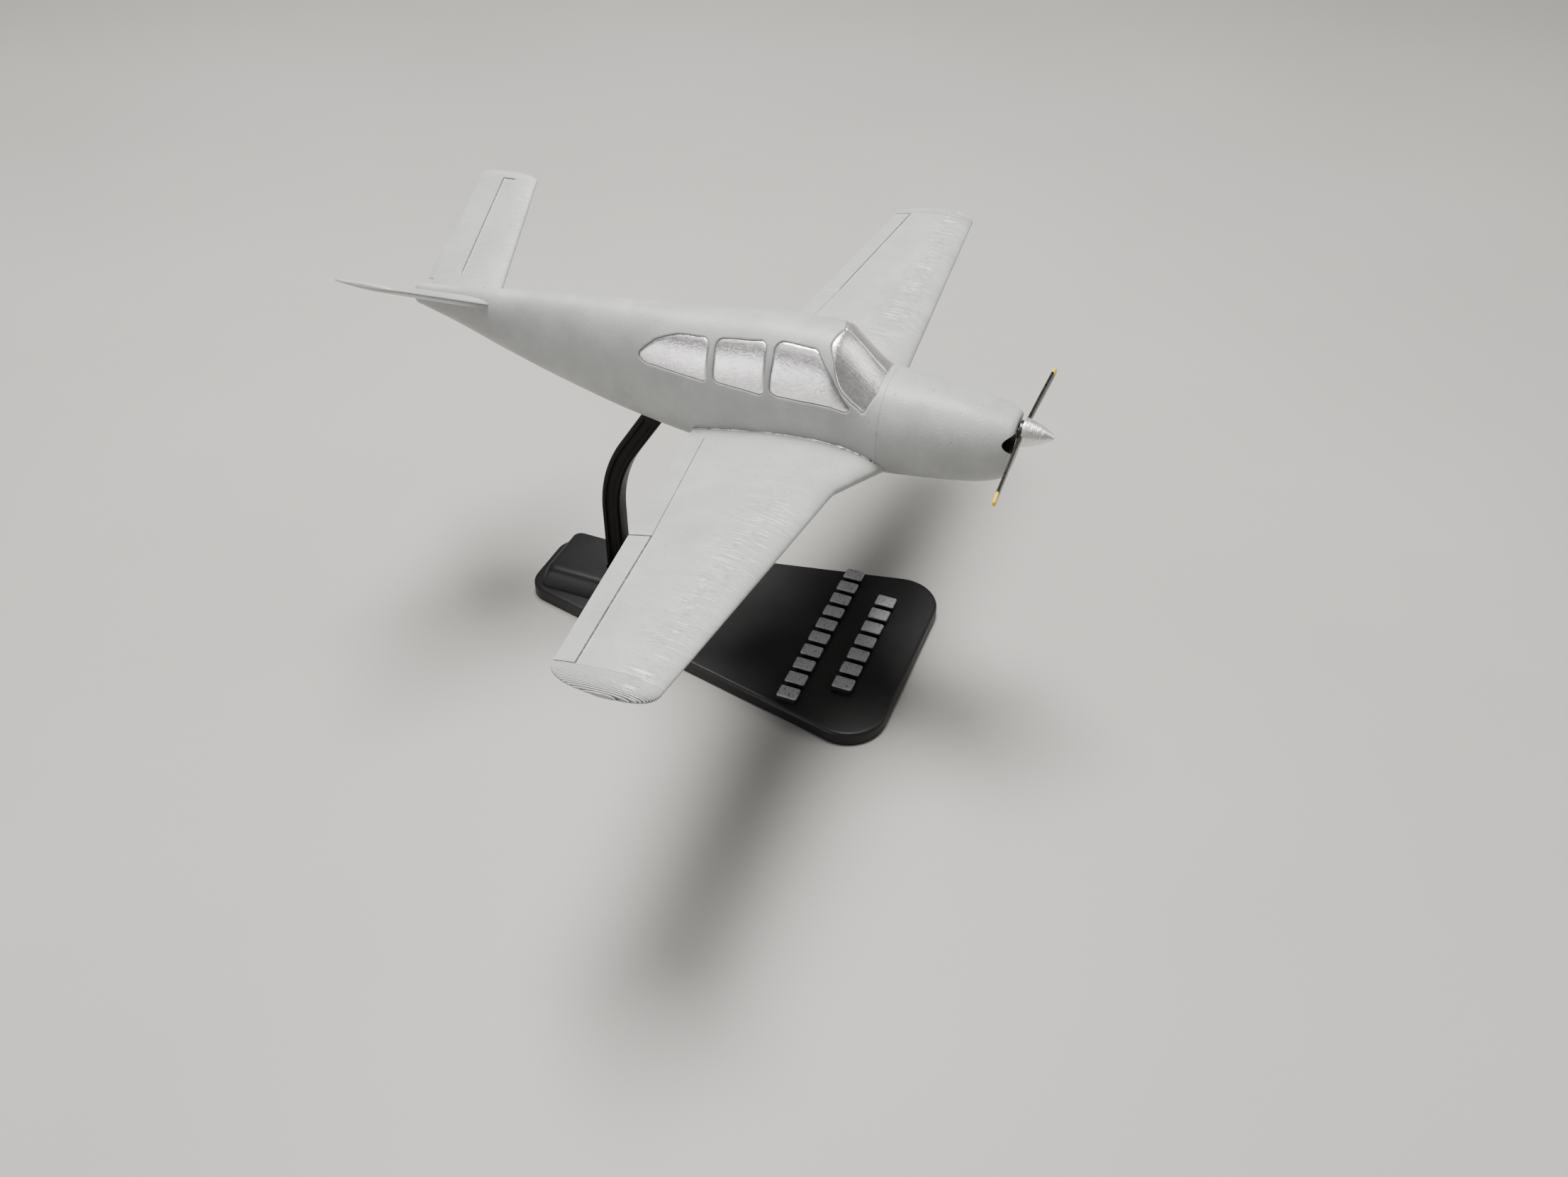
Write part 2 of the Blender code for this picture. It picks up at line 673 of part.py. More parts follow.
def add_fin(name, side, body_envelope, parent, material):
    """A tail fin with its hinge line and the trim tab that stands out behind it."""
    fin = mesh_object(name, loft(fin_rings(side)), parent, material)
    thick = TAB_HALF_THICKNESS
    rings = []
    for s in (TAB_ROOT_S, TAB_TIP_S):
        back = fin_edges(s)[1] - TAB_REACH
        front = back + TAB_DEPTH
        rings.append([
            fin_point(front, s, thick, side), fin_point(back, s, thick / 2, side),
            fin_point(back, s, -thick / 2, side), fin_point(front, s, -thick, side),
        ])
    add_on(fin, mesh_object(name + "_tab_shape", loft(rings), parent))
    cut_away(fin, body_envelope)
    for above in (True, False):
        def skin(x, s, out, above=above):
            return fin_skin(x, s, out, side, above)
        blade = groove(divided(FIN_HINGE, GROOVE_STEP), skin, PAST)
        face = "upper" if above else "lower"
        cut_away(fin, mesh_object(f"{name}_hinge_{face}", blade, parent))
    return fin


# =================================================================================================
# The stand
# =================================================================================================
def add_base_plate(material):
    corners = [
        (PLATE_REAR_X, -PLATE_REAR_HALF_WIDTH, PLATE_REAR_RADIUS),
        (PLATE_FRONT_X, -PLATE_FRONT_HALF_WIDTH, PLATE_FRONT_RADIUS),
        (PLATE_FRONT_X, PLATE_FRONT_HALF_WIDTH, PLATE_FRONT_RADIUS),
        (PLATE_REAR_X, PLATE_REAR_HALF_WIDTH, PLATE_REAR_RADIUS),
    ]
    outline = rounded_outline(corners, steps=9)
    inner = grown_outline(outline, -PLATE_BEVEL * 0.3)
    top = grown_outline(outline, -PLATE_BEVEL)
    layers = (
        (inner, 0.0), (outline, PLATE_BEVEL * 0.3), (outline, PLATE_THICKNESS - PLATE_BEVEL),
        (inner, PLATE_THICKNESS - PLATE_BEVEL * 0.3), (top, PLATE_THICKNESS),
    )
    rings = [[Vector((p.x, p.y, z)) for p in points] for points, z in layers]
    return mesh_object("base_plate", loft(rings), None, material)


def post_centre(distance):
    """The post's centre line and its direction, at a distance up from the top of its straight run."""
    bend = POST_BEND_RADIUS * POST_LEAN
    if distance <= 0:
        return Vector((POST_X, 0, POST_STRAIGHT_TOP_Z + distance)), 0.0
    angle = min(distance, bend) / POST_BEND_RADIUS
    x = POST_X + POST_BEND_RADIUS * (1 - math.cos(angle))
    z = POST_STRAIGHT_TOP_Z + POST_BEND_RADIUS * math.sin(angle)
    beyond = max(distance - bend, 0.0)
    return Vector((x + beyond * math.sin(angle), 0, z + beyond * math.cos(angle))), angle


def square_ring(distance, side, edge):
    """A square section with its four edges cut off, square to the post's centre line."""
    middle, angle = post_centre(distance)
    ahead = Vector((math.cos(angle), 0, -math.sin(angle)))
    aside = Vector((0, 1, 0))
    half = side / 2
    near = half - edge
    shape = (
        (half, -near), (half, near), (near, half), (-near, half),
        (-half, near), (-half, -near), (-near, -half), (near, -half),
    )
    return [middle + ahead * a + aside * b for a, b in shape]


def post_stations(low, high):
    """Places along the post, close together round its bend."""
    bend = POST_BEND_RADIUS * POST_LEAN
    turns = [bend * k / POST_BEND_SECTIONS for k in range(1, POST_BEND_SECTIONS + 1)]
    return [low, 0.0] + turns + [high]


def add_post(material, body_envelope):
    """The curved post: square foot, channelled shaft and the square peg that the plane sits on."""
    foot = POST_FOOT_Z - POST_STRAIGHT_TOP_Z
    rings = [square_ring(d, POST_SIDE, POST_EDGE) for d in post_stations(foot, POST_TOP)]
    post = mesh_object("stand_post", loft(rings), None, material)
    for side, label in ((1, "left"), (-1, "right")):
        rings = []
        for d in post_stations(BLOCK_TOP_Z + PAST - POST_STRAIGHT_TOP_Z, POST_CHANNEL_END):
            middle, angle = post_centre(d)
            ahead = Vector((math.cos(angle), 0, -math.sin(angle))) * (POST_CHANNEL_WIDTH / 2)
            deep = Vector((0, side * (POST_SIDE / 2 - POST_CHANNEL_DEPTH), 0))
            clear = Vector((0, side * (POST_SIDE / 2 + PAST), 0))
            rings.append([middle - ahead + deep, middle + ahead + deep,
                          middle + ahead + clear, middle - ahead + clear])
        cut_away(post, mesh_object("post_channel_" + label, loft(rings)))
    cut_away(post, body_envelope)
    peg_rings = [square_ring(d, PEG_SIDE, PEG_EDGE) for d in (PEG_START, PEG_REACH)]
    add_on(post, mesh_object("peg_shape", loft(peg_rings)))
    return post


def peg_socket():
    """What the peg's socket takes out of the fuselage."""
    side = PEG_SIDE + 2 * GAP
    rings = [square_ring(d, side, PEG_EDGE) for d in (PEG_START - PAST, PEG_REACH + GAP)]
    return mesh_object("peg_socket", loft(rings))


def block_outline(half_width, inset):
    front = BLOCK_FRONT_X - inset
    rear = BLOCK_REAR_X + inset
    radius = BLOCK_CORNER_RADIUS
    corners = [(rear, -half_width, radius), (front, -half_width, radius),
               (front, half_width, radius), (rear, half_width, radius)]
    return rounded_outline(corners)


def add_foot_block(material):
    """The raised block: flared low walls, a rounded shoulder and a flat top with the post's hole."""
    low = PLATE_THICKNESS - SEAT_DEPTH + GAP
    height = BLOCK_TOP_Z - PLATE_THICKNESS
    spread = BLOCK_HALF_WIDTH - BLOCK_TOP_HALF_WIDTH
    rings = [[Vector((p.x, p.y, low)) for p in block_outline(BLOCK_HALF_WIDTH, 0.0)]]
    for share in BLOCK_SHOULDER:
        curve = 1 - math.sqrt(1 - share**3)
        inset = spread * (BLOCK_FLARE * share + (1 - BLOCK_FLARE) * curve)
        z = PLATE_THICKNESS + height * share
        rings.append([Vector((p.x, p.y, z)) for p in block_outline(BLOCK_HALF_WIDTH - inset, inset)])
    block = mesh_object("post_foot_block", loft(rings), None, material)
    hole = [square_ring(z - POST_STRAIGHT_TOP_Z, POST_SIDE + 2 * GAP, POST_EDGE)
            for z in (POST_FOOT_Z - GAP, BLOCK_TOP_Z + PAST)]
    cut_away(block, mesh_object("post_hole", loft(hole)))
    return block


def marker_seat(rear, right, left):
    front = rear + MARKER_DEPTH
    corners = [(rear, right, 0.0), (front, right, 0.0), (front, left, 0.0), (rear, left, 0.0)]
    return rounded_outline(corners)


def add_marker(name, rear, right, left, count, material):
    """A row of plain raised bars on one thin strip that is let into the plate."""
    strip = prism(marker_seat(rear, right, left), PLATE_THICKNESS - SEAT_DEPTH + GAP, PLATE_THICKNESS)
    marker = mesh_object(name, strip, None, material)
    pitch = (left - right) / count
    back = rear + BAR_INSET
    front = rear + MARKER_DEPTH - BAR_INSET
    for k in range(count):
        start = right + pitch * (k + BAR_START)
        end = start + pitch * BAR_SHARE
        corners = [(back, start, BAR_RADIUS), (front, start, BAR_RADIUS),
                   (front, end, BAR_RADIUS), (back, end, BAR_RADIUS)]
        bar = prism(rounded_outline(corners, steps=2), PLATE_THICKNESS - GAP, MARKER_TOP_Z)
        add_on(marker, mesh_object(f"{name}_bar_{k + 1}", bar))
    return marker


# =================================================================================================
# The aircraft
# =================================================================================================
def add_fuselage(parent, paint, silver):
    rings = [skin_ring(x) for x in fuselage_stations()] + tail_end_rings()
    fuselage = mesh_object("fuselage", loft(rings), parent, paint)
    socket = turned(((COWL_SEAM_X - SPIGOT_LENGTH - GAP, SPIGOT_RADIUS + GAP),
                     (COWL_SEAM_X + PAST, SPIGOT_RADIUS + GAP)), 32, SPIGOT_Z)
    cut_away(fuselage, mesh_object("spigot_socket", socket, parent))
    for side, label in ((1, "left"), (-1, "right")):
        add_pane(f"{label}_windshield", fuselage, skin_on_nose, WINDSHIELD, side, parent, silver)
        for kind, corners in SIDE_WINDOWS.items():
            add_pane(f"{label}_{kind}", fuselage, skin_on_side, corners, side, parent, silver)
    return fuselage


def inlet_cutter(side, parent):
    """An oval pocket in the cowl's face beside the spinner."""
    rings = []
    for x in (COWL_FACE_X - INLET_DEPTH, COWL_FACE_X + PAST):
        angles = [2 * math.pi * k / 20 for k in range(20)]
        rings.append([Vector((x, side * INLET_Y + INLET_RADII[0] * math.cos(a),
                              INLET_Z + INLET_RADII[1] * math.sin(a))) for a in angles])
    return mesh_object("inlet_" + ("left" if side > 0 else "right"), loft(rings), parent)


def add_cowl(parent, paint):
    cowl = mesh_object("nose_cowl", loft([skin_ring(x) for x in COWL_STATIONS]), parent, paint)
    spigot = turned(((COWL_SEAM_X - SPIGOT_LENGTH, SPIGOT_RADIUS),
                     (COWL_SEAM_X + PAST, SPIGOT_RADIUS)), 32, SPIGOT_Z)
    add_on(cowl, mesh_object("spigot_shape", spigot, parent))
    room = SHAFT_HEAD_RADIUS + SHAFT_HEAD_ROOM
    head_room = turned(((COWL_SEAM_X - SPIGOT_LENGTH - PAST, room), (SLEEVE_X[0], room)), 24, SHAFT_Z)
    sleeve_hole = turned(((SLEEVE_X[0] - PAST, SLEEVE_RADIUS + PIN_GAP),
                          (COWL_FACE_X + PAST, SLEEVE_RADIUS + PIN_GAP)), 24, SHAFT_Z)
    cut_away(cowl, mesh_object("head_room", head_room, parent),
             mesh_object("sleeve_hole", sleeve_hole, parent),
             inlet_cutter(1, parent), inlet_cutter(-1, parent))
    return cowl


def add_wing_pins(parent, fuselage, wings, steel):
    for label, x in (("front", FRONT_PIN_X), ("rear", REAR_PIN_X)):
        ends = [Vector((x, side * WING_PIN_HALF_LENGTH, WING_PIN_Z)) for side in (-1, 1)]
        extra = Vector((0, GAP, 0))
        hole = mesh_object(f"{label}_wing_pin_hole",
                           rod(ends[0] - extra, ends[1] + extra, PIN_RADIUS + PIN_GAP), parent)
        mesh_object(f"{label}_wing_pin", rod(ends[0], ends[1], PIN_RADIUS), parent, steel)
        for item in (fuselage, *wings):
            cut_away(item, hole)


def add_fin_pin(side, label, fuselage, fin, parent, steel):
    start = fin_point(FIN_PIN_X, FIN_PIN_START_S, 0, side)
    end = fin_point(FIN_PIN_X, FIN_PIN_START_S + FIN_PIN_LENGTH, 0, side)
    extra = (end - start).normalized() * GAP
    hole = mesh_object(f"{label}_tail_pin_hole",
                       rod(start - extra, end + extra, FIN_PIN_RADIUS + PIN_GAP, 12), parent)
    mesh_object(f"{label}_tail_pin", rod(start, end, FIN_PIN_RADIUS, 12), parent, steel)
    cut_away(fuselage, hole)
    cut_away(fin, hole)


def add_aircraft(parent, looks):
    body_envelope = envelope("body_envelope", parent)
    fuselage = add_fuselage(parent, looks["paint"], looks["silver"])
    cut_away(fuselage, peg_socket())
    add_cowl(parent, looks["paint"])
    wings = []
    for side, label in ((1, "left"), (-1, "right")):
        wings.append(add_wing(label + "_wing", side, body_envelope, parent, looks["paint"]))
        fin = add_fin(label + "_tail_fin", side, body_envelope, parent, looks["paint"])
        add_fin_pin(side, label, fuselage, fin, parent, looks["steel"])
    add_wing_pins(parent, fuselage, wings, looks["steel"])
    sleeve = mesh_object("shaft_sleeve", turned(((SLEEVE_X[0], SLEEVE_RADIUS),
                                                 (SLEEVE_X[1], SLEEVE_RADIUS)), 24, SHAFT_Z),
                         parent, looks["brass"])
    bore = turned(((SLEEVE_X[0] - PAST, SHAFT_RADIUS + RUNNING_GAP),
                   (SLEEVE_X[1] + PAST, SHAFT_RADIUS + RUNNING_GAP)), 24, SHAFT_Z)
    cut_away(sleeve, mesh_object("sleeve_bore", bore, parent))
    return body_envelope


# =================================================================================================
# The propeller, about its own axis
# =================================================================================================
def blade_rings():
    """Both blades as one bar along Y, whose pitch turns over inside the hub."""
    reaches = [y for y, _ in BLADE_CHORDS]
    turn = BLADE_PITCH_CHANGE_Y
    places = [-y for y in reversed(reaches[1:])] + [-turn, turn] + reaches[1:]
    rings = []
    for y in places:
        chord = smooth_value(BLADE_CHORDS, abs(y))
        thickness = BLADE_THICKNESS * min(1.0, chord / BLADE_FULL_CHORD)
        pitch = math.copysign(BLADE_PITCH, y)
        ahead = PROP_X + BLADE_FORWARD_REACH * abs(y) / BLADE_CHORDS[-1][0]
        ring = []
        for k in range(BLADE_SECTION_POINTS):
            a = 2 * math.pi * k / BLADE_SECTION_POINTS
            across = thickness / 2 * math.cos(a)
            along = chord / 2 * math.sin(a)
            ring.append(Vector((ahead + across * math.cos(pitch) - along * math.sin(pitch), y,
                                across * math.sin(pitch) + along * math.cos(pitch))))
        rings.append(ring)
    return rings


def spinner_profile(start, end, steps):
    """Points (X, radius) of the cone that the hub and the spinner share, between two stations."""
    first, second = SPINNER_POWERS
    profile = []
    for x in np.linspace(start, end, steps):
        share = (x - HUB_REAR_X) / (SPINNER_TIP_X - HUB_REAR_X)
        profile.append((x, SPINNER_RADIUS * (1 - share**first) ** second))
    return profile


def add_propeller(parent, looks):
    """The two blades with their hub, the spinner in front of it, and the shaft through both."""
    propeller = mesh_object("propeller", loft(blade_rings()), parent, looks["gloss_black"])
    hub = turned(spinner_profile(HUB_REAR_X, HUB_FRONT_X, 4), 32, 0)
    add_on(propeller, mesh_object("hub_shape", hub, parent))
    hole_radius = SHAFT_RADIUS + PIN_GAP
    bore = turned(((HUB_REAR_X - PAST, hole_radius), (HUB_FRONT_X + PAST, hole_radius)), 24, 0)
    cut_away(propeller, mesh_object("hub_bore", bore, parent))
    profile = spinner_profile(SPINNER_BASE_X, SPINNER_CONE_END_X, 9) + list(SPINNER_NOSE)
    spinner = mesh_object("spinner", turned(profile, 32, 0), parent, looks["silver"])
    spinner_bore = turned(((SPINNER_BASE_X - PAST, hole_radius),
                           (SPINNER_BORE_END_X, hole_radius)), 24, 0)
    cut_away(spinner, mesh_object("spinner_bore", spinner_bore, parent))
    shaft_end = SPINNER_BORE_END_X - GAP
    shaft = turned(((SHAFT_HEAD_X[0], SHAFT_HEAD_RADIUS), (SHAFT_HEAD_X[1], SHAFT_HEAD_RADIUS),
                    (SHAFT_HEAD_X[1], SHAFT_RADIUS), (shaft_end, SHAFT_RADIUS)), 24, 0)
    mesh_object("propeller_shaft", shaft, parent, looks["steel"])


# =================================================================================================
# The whole model
# =================================================================================================
def add_empty(name, location, parent=None, pitch=0.0):
    empty = bpy.data.objects.new(name, None)
    bpy.context.scene.collection.objects.link(empty)
    empty.parent = parent
    empty.location = Vector(location) * MM
    empty.rotation_euler = (0, -pitch, 0)
    return empty


def build():
    clear_scene()
    looks = {
        "paint": make_material("grey_paint", (0.50, 0.53, 0.54), 0.55),
        "silver": make_material("silver_paint", (0.80, 0.79, 0.78), 0.30, 0.9),
        "stand": make_material("black_print", (0.018, 0.018, 0.020), 0.45),
        "marker": make_material("marker_print", (0.45, 0.45, 0.46), 0.5, 0.3),
        "gloss_black": make_material("gloss_black", (0.012, 0.012, 0.012), 0.2),
        "steel": make_material("steel_pin", (0.55, 0.55, 0.56), 0.35, 1.0),
        "brass": make_material("brass_sleeve", (0.75, 0.58, 0.28), 0.35, 1.0),
    }
    lift_place = post_centre(LIFT_POINT)[0]
    aircraft = add_empty("lift_axis", lift_place)
    plane_place = Vector((PLANE_X, 0, PLANE_Z)) - lift_place
    plane = add_empty("plane_frame", plane_place, aircraft, PLANE_PITCH)
    shaft_axis = add_empty("shaft_axis", (0, 0, SHAFT_Z), plane)

    body_envelope = add_aircraft(plane, looks)
    add_propeller(shaft_axis, looks)

    plate = add_base_plate(looks["stand"])
    seats = [mesh_object("block_seat", prism(
        grown_outline(block_outline(BLOCK_HALF_WIDTH, 0.0), GAP),
        PLATE_THICKNESS - SEAT_DEPTH, PLATE_THICKNESS + PAST))]
    for name, (rear, right, left, count) in MARKER_BARS.items():
        add_marker(name, rear, right, left, count, looks["marker"])
        outline = grown_outline(marker_seat(rear, right, left), GAP)
        seats.append(mesh_object(name + "_seat", prism(
            outline, PLATE_THICKNESS - SEAT_DEPTH, PLATE_THICKNESS + PAST)))
    cut_away(plate, *seats)
    add_foot_block(looks["stand"])
    add_post(looks["stand"], body_envelope)


build()
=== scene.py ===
"""Looks for the V-tail plane desk model: smooth skins, printed layers, brushed paint and soft light.

The plane's own axes are +X to the nose, +Y to its left wing and +Z up. They are read from the
propeller's joint. Shapes are in millimetres in those axes until they become meshes.
"""

import json
import math
from collections import namedtuple

import bmesh
import bpy
import numpy as np
from mathutils import Matrix, Vector, noise
from mathutils.geometry import delaunay_2d_cdt


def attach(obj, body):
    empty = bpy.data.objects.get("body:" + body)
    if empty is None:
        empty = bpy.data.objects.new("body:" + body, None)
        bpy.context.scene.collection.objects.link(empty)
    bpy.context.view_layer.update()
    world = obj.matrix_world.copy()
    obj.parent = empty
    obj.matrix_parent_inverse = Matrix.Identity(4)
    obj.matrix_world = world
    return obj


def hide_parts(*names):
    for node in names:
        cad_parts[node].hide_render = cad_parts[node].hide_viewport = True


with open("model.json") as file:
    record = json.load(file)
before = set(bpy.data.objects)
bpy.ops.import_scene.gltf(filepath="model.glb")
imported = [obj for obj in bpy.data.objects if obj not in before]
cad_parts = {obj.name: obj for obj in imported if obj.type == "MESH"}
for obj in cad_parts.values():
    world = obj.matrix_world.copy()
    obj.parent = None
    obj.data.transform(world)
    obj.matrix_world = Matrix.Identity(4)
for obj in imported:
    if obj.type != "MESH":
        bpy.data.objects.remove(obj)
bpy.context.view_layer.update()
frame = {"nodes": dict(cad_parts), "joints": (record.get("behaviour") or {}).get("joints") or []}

MM = 0.001
GAP = 0.3
SHARP_ANGLE = math.radians(30)
SURFACE_STEP = 0.05
WOBBLE_WAVES = ((0.35, 1.0), (1.2, 0.3))  # (waves per millimetre, share) of an uneven outline

# ---- Where the plane sits, from the propeller's joint ----
JOINT_X = 36.4
SHAFT_Z = 8.7
spin = next(j for j in frame["joints"] if j["name"] == "propeller_spin")
AHEAD = Vector(spin["axis"]).normalized()
LEFT = Vector((0, 1, 0))
ABOVE = AHEAD.cross(LEFT)
PLANE = (
    Matrix.Translation(Vector(spin["pos_m"]) - (AHEAD * JOINT_X + ABOVE * SHAFT_Z) * MM)
    @ Matrix((AHEAD, LEFT, ABOVE)).transposed().to_4x4()
    @ Matrix.Scale(MM, 4)
)
WORLD = Matrix.Scale(MM, 4)

# ---- Fuselage: outlines as (X, value) ----
TOP_LINE = (
    (35.1, 12.6), (31.8, 13.6), (26.0, 15.0), (15.4, 16.6), (5.2, 17.3), (3.6, 17.6), (2.6, 18.5),
    (-4.6, 25.7), (-6.2, 26.7), (-9.0, 27.1), (-19.2, 27.2), (-38.5, 25.4), (-57.8, 24.0),
    (-77.0, 22.5), (-96.2, 20.6), (-110.7, 19.2), (-120.3, 18.3),
)
KEEL_LINE = (
    (35.1, 2.4), (33.9, -0.9), (31.8, -2.4), (26.0, -3.7), (15.4, -4.8), (3.8, -5.5), (-19.2, -6.4),
    (-38.5, -7.4), (-57.8, -5.2), (-77.0, -0.9), (-96.2, 4.9), (-110.7, 9.8), (-120.3, 12.7),
)
HALF_WIDTHS = (
    (35.1, 6.2), (33.9, 7.3), (31.8, 8.4), (26.0, 9.8), (15.4, 11.0), (3.8, 11.8), (-5.8, 11.7),
    (-19.2, 11.4), (-38.5, 10.8), (-57.8, 8.6), (-77.0, 6.3), (-96.2, 4.2), (-110.7, 2.4),
    (-120.3, 1.6),
)
SECTION_POWER = 2.45
WIDEST_AT = 0.353
CREASE_DEPTH = 0.11
CREASE_FRONT_X = 3.4
CREASE_REAR_X = -6.0
COWL_SEAM_X = 5.2
COWL_FACE_X = 34.6
TAIL_ROUND_X = -120.3
TAIL_END_X = -122.6
TAIL_END_Z = 14.3
BODY_MIDDLE_Z = 5.0
SEAM_MIDDLE_Z = 6.0
SEAM_SHRINK = 0.996

# ---- Cabin glass: (X, Z, corner radius) on the side, (X, Y, radius) on the nose ----
SIDE_WINDOWS = {
    "rear_window": (
        (-37.0, 12.7, 1.0), (-36.8, 22.2, 1.6), (-45.5, 21.5, 5.0), (-50.6, 19.6, 4.0),
        (-55.9, 15.0, 1.2), (-53.4, 13.7, 1.2),
    ),
    "middle_window": ((-22.4, 12.4, 1.1), (-22.4, 24.1, 1.5), (-35.0, 22.5, 1.8), (-35.0, 13.2, 1.3)),
    "front_window": ((-1.2, 13.1, 0.7), (-10.4, 24.3, 2.2), (-20.2, 24.6, 1.8), (-20.9, 12.9, 1.6)),
}
WINDSHIELD = (
    (3.7, GAP / 2, 0.0), (3.3, 7.2, 1.6), (1.6, 10.2, 1.2), (-4.6, 9.9, 3.5),
    (-7.9, 6.2, 2.0), (-6.3, GAP / 2, 0.0),
)

# ---- Wing ----
WING_ROOT_Y = 6.5
WING_KINK_Y = 24.7
WING_CAP_Y = 101.0
WING_DIHEDRAL = math.radians(5.48)
WING_CAMBER = 0.02
WING_CAMBER_AT = 0.4
TRAILING_EDGE = 0.5
HINGE_LINE = ((14.6, -36.1), (57.8, -28.3), (100.4, -22.4))
HINGE_START_Y = HINGE_LINE[0][0]
FLAP_SPLIT_Y = 57.8
AILERON_END_Y = 100.7

# ---- V-tail ----
FIN_ROOT_Y = 4.35
FIN_ROOT_Z = 18.4
FIN_DIHEDRAL = math.radians(31.2)
FIN_START_S = -3.6
FIN_CAP_S = 31.2
FIN_HINGE_X = -111.2
FIN_END_S = 30.9
TAB_ROOT_S = -0.8
TAB_TIP_S = 15.6
TAB_REACH = 1.5
TAB_DEPTH = 2.6

# A wing's or a fin's plan: its lines as (distance along it, value), where its rounded tip starts and
# ends, how the tip draws in its nose, tail and thickness, and the share of its chord left at the end.
Plan = namedtuple("Plan", "nose tail thickness cap tip powers blunt")
WING = Plan(
    nose=((WING_ROOT_Y, 8.9), (18.0, 3.2), (WING_KINK_Y, 0.1), (27.0, -0.2), (WING_CAP_Y, -4.3)),
    tail=((WING_ROOT_Y, -41.8), (WING_CAP_Y, -27.0)),
    thickness=((WING_ROOT_Y, 8.0), (WING_KINK_Y, 6.2), (WING_CAP_Y, 2.8)),
    cap=WING_CAP_Y, tip=106.4, powers=(3.0, 2.0, 2.0), blunt=0.0,
)
FIN = Plan(
    nose=((FIN_START_S, -98.6), (FIN_CAP_S, -101.9)),
    tail=((FIN_START_S, -118.9), (FIN_CAP_S, -118.4)),
    thickness=((FIN_START_S, 2.5), (FIN_CAP_S, 1.7)),
    cap=FIN_CAP_S, tip=33.4, powers=(2.5, 2.5, 2.5), blunt=0.25,
)
THINNEST_TIP = 0.3


# ---- Curves and meshes ----
def smooth_value(points, at):
    """Read a smooth curve through (position, value) points that never overshoots them."""
    xs, ys = zip(*sorted(points))
    steps = [b - a for a, b in zip(xs, xs[1:])]
    rises = [(b - a) / h for a, b, h in zip(ys, ys[1:], steps)]
    slopes = [rises[0]]
    for before, after in zip(rises, rises[1:]):
        slopes.append(0.0 if before * after <= 0 else 2 * before * after / (before + after))
    slopes.append(rises[-1])
    at = min(max(at, xs[0]), xs[-1])
    i = min(max(int(np.searchsorted(xs, at)) - 1, 0), len(steps) - 1)
    h = steps[i]
    t = (at - xs[i]) / h
    return (
        ys[i] * (2 * t**3 - 3 * t**2 + 1)
        + slopes[i] * h * (t**3 - 2 * t**2 + t)
        + ys[i + 1] * (3 * t**2 - 2 * t**3)
        + slopes[i + 1] * h * (t**3 - t**2)
    )


def straight_value(points, at):
    """Read straight lines through (position, value) points, carried on past both ends."""
    points = sorted(points)
    i = 0
    while i < len(points) - 2 and at > points[i + 1][0]:
        i += 1
    (x0, y0), (x1, y1) = points[i], points[i + 1]
    return y0 + (y1 - y0) * (at - x0) / (x1 - x0)


def build_mesh(name, bm, to_world, local=None):
    """Turn a bmesh in millimetres into an object, and keep each point's own place as 'grain'."""
    bmesh.ops.recalc_face_normals(bm, faces=bm.faces[:])
    if bm.calc_volume(signed=True) < 0:
        bmesh.ops.reverse_faces(bm, faces=bm.faces[:])
    mesh = bpy.data.meshes.new(name)
    bm.to_mesh(mesh)
    bm.free()
    mesh.transform(to_world)
    item = bpy.data.objects.new(name, mesh)
    bpy.context.scene.collection.objects.link(item)
    shade(item)
    keep_grain(item, local or to_world)
    return item


def shade(item):
    item.data.shade_smooth()
    item.data.set_sharp_from_angle(angle=SHARP_ANGLE)


def keep_grain(item, local):
    """Store each point's place in millimetres in the part's own axes, for its material."""
    mesh = item.data
    co = np.zeros(len(mesh.vertices) * 3)
    mesh.vertices.foreach_get("co", co)
    inverse = np.array(local.inverted())
    places = co.reshape(-1, 3) @ inverse[:3, :3].T + inverse[:3, 3]
    attribute = mesh.attributes.get("grain") or mesh.attributes.new("grain", "FLOAT_VECTOR", "POINT")
    attribute.data.foreach_set("vector", places.astype(np.float32).ravel())
    return places


def keep_values(item, name, values):
    """Store one number for each point, for the piece's material; points without one get 0."""
    full = np.zeros(len(item.data.vertices), np.float32)
    full[:len(values)] = values
    item.data.attributes.new(name, "FLOAT", "POINT").data.foreach_set("value", full)


def loft(rings, bm=None):
    """Skin a list of rings of equal length into one closed solid with flat end caps."""
    bm = bm or bmesh.new()
    loops = [[bm.verts.new(p) for p in ring] for ring in rings]
    for a, b in zip(loops, loops[1:]):
        for i in range(len(a)):
            j = (i + 1) % len(a)
            bm.faces.new((a[i], a[j], b[j], b[i]))
    bm.faces.new(list(reversed(loops[0])))
    bm.faces.new(loops[-1])
    return bm


def carve(item, operation, tools, local):
    """Apply a boolean with each tool, remove the tools, and store 'grain' for the new points."""
    for tool in tools:
        modifier = item.modifiers.new("carve", "BOOLEAN")
        modifier.operation = operation
        modifier.solver = "EXACT"
        modifier.material_mode = "TRANSFER"
        modifier.object = tool
    bpy.context.view_layer.update()
    evaluated = item.evaluated_get(bpy.context.evaluated_depsgraph_get())
    mesh = bpy.data.meshes.new_from_object(evaluated)
    item.modifiers.clear()
    item.data = mesh
    for tool in tools:
        bpy.data.objects.remove(tool)
    shade(item)
    keep_grain(item, local)


def rectangle(low_u, high_u, low_v, high_v, radius):
    corners = ((low_u, low_v), (high_u, low_v), (high_u, high_v), (low_u, high_v))
    return [(u, v, radius) for u, v in corners]


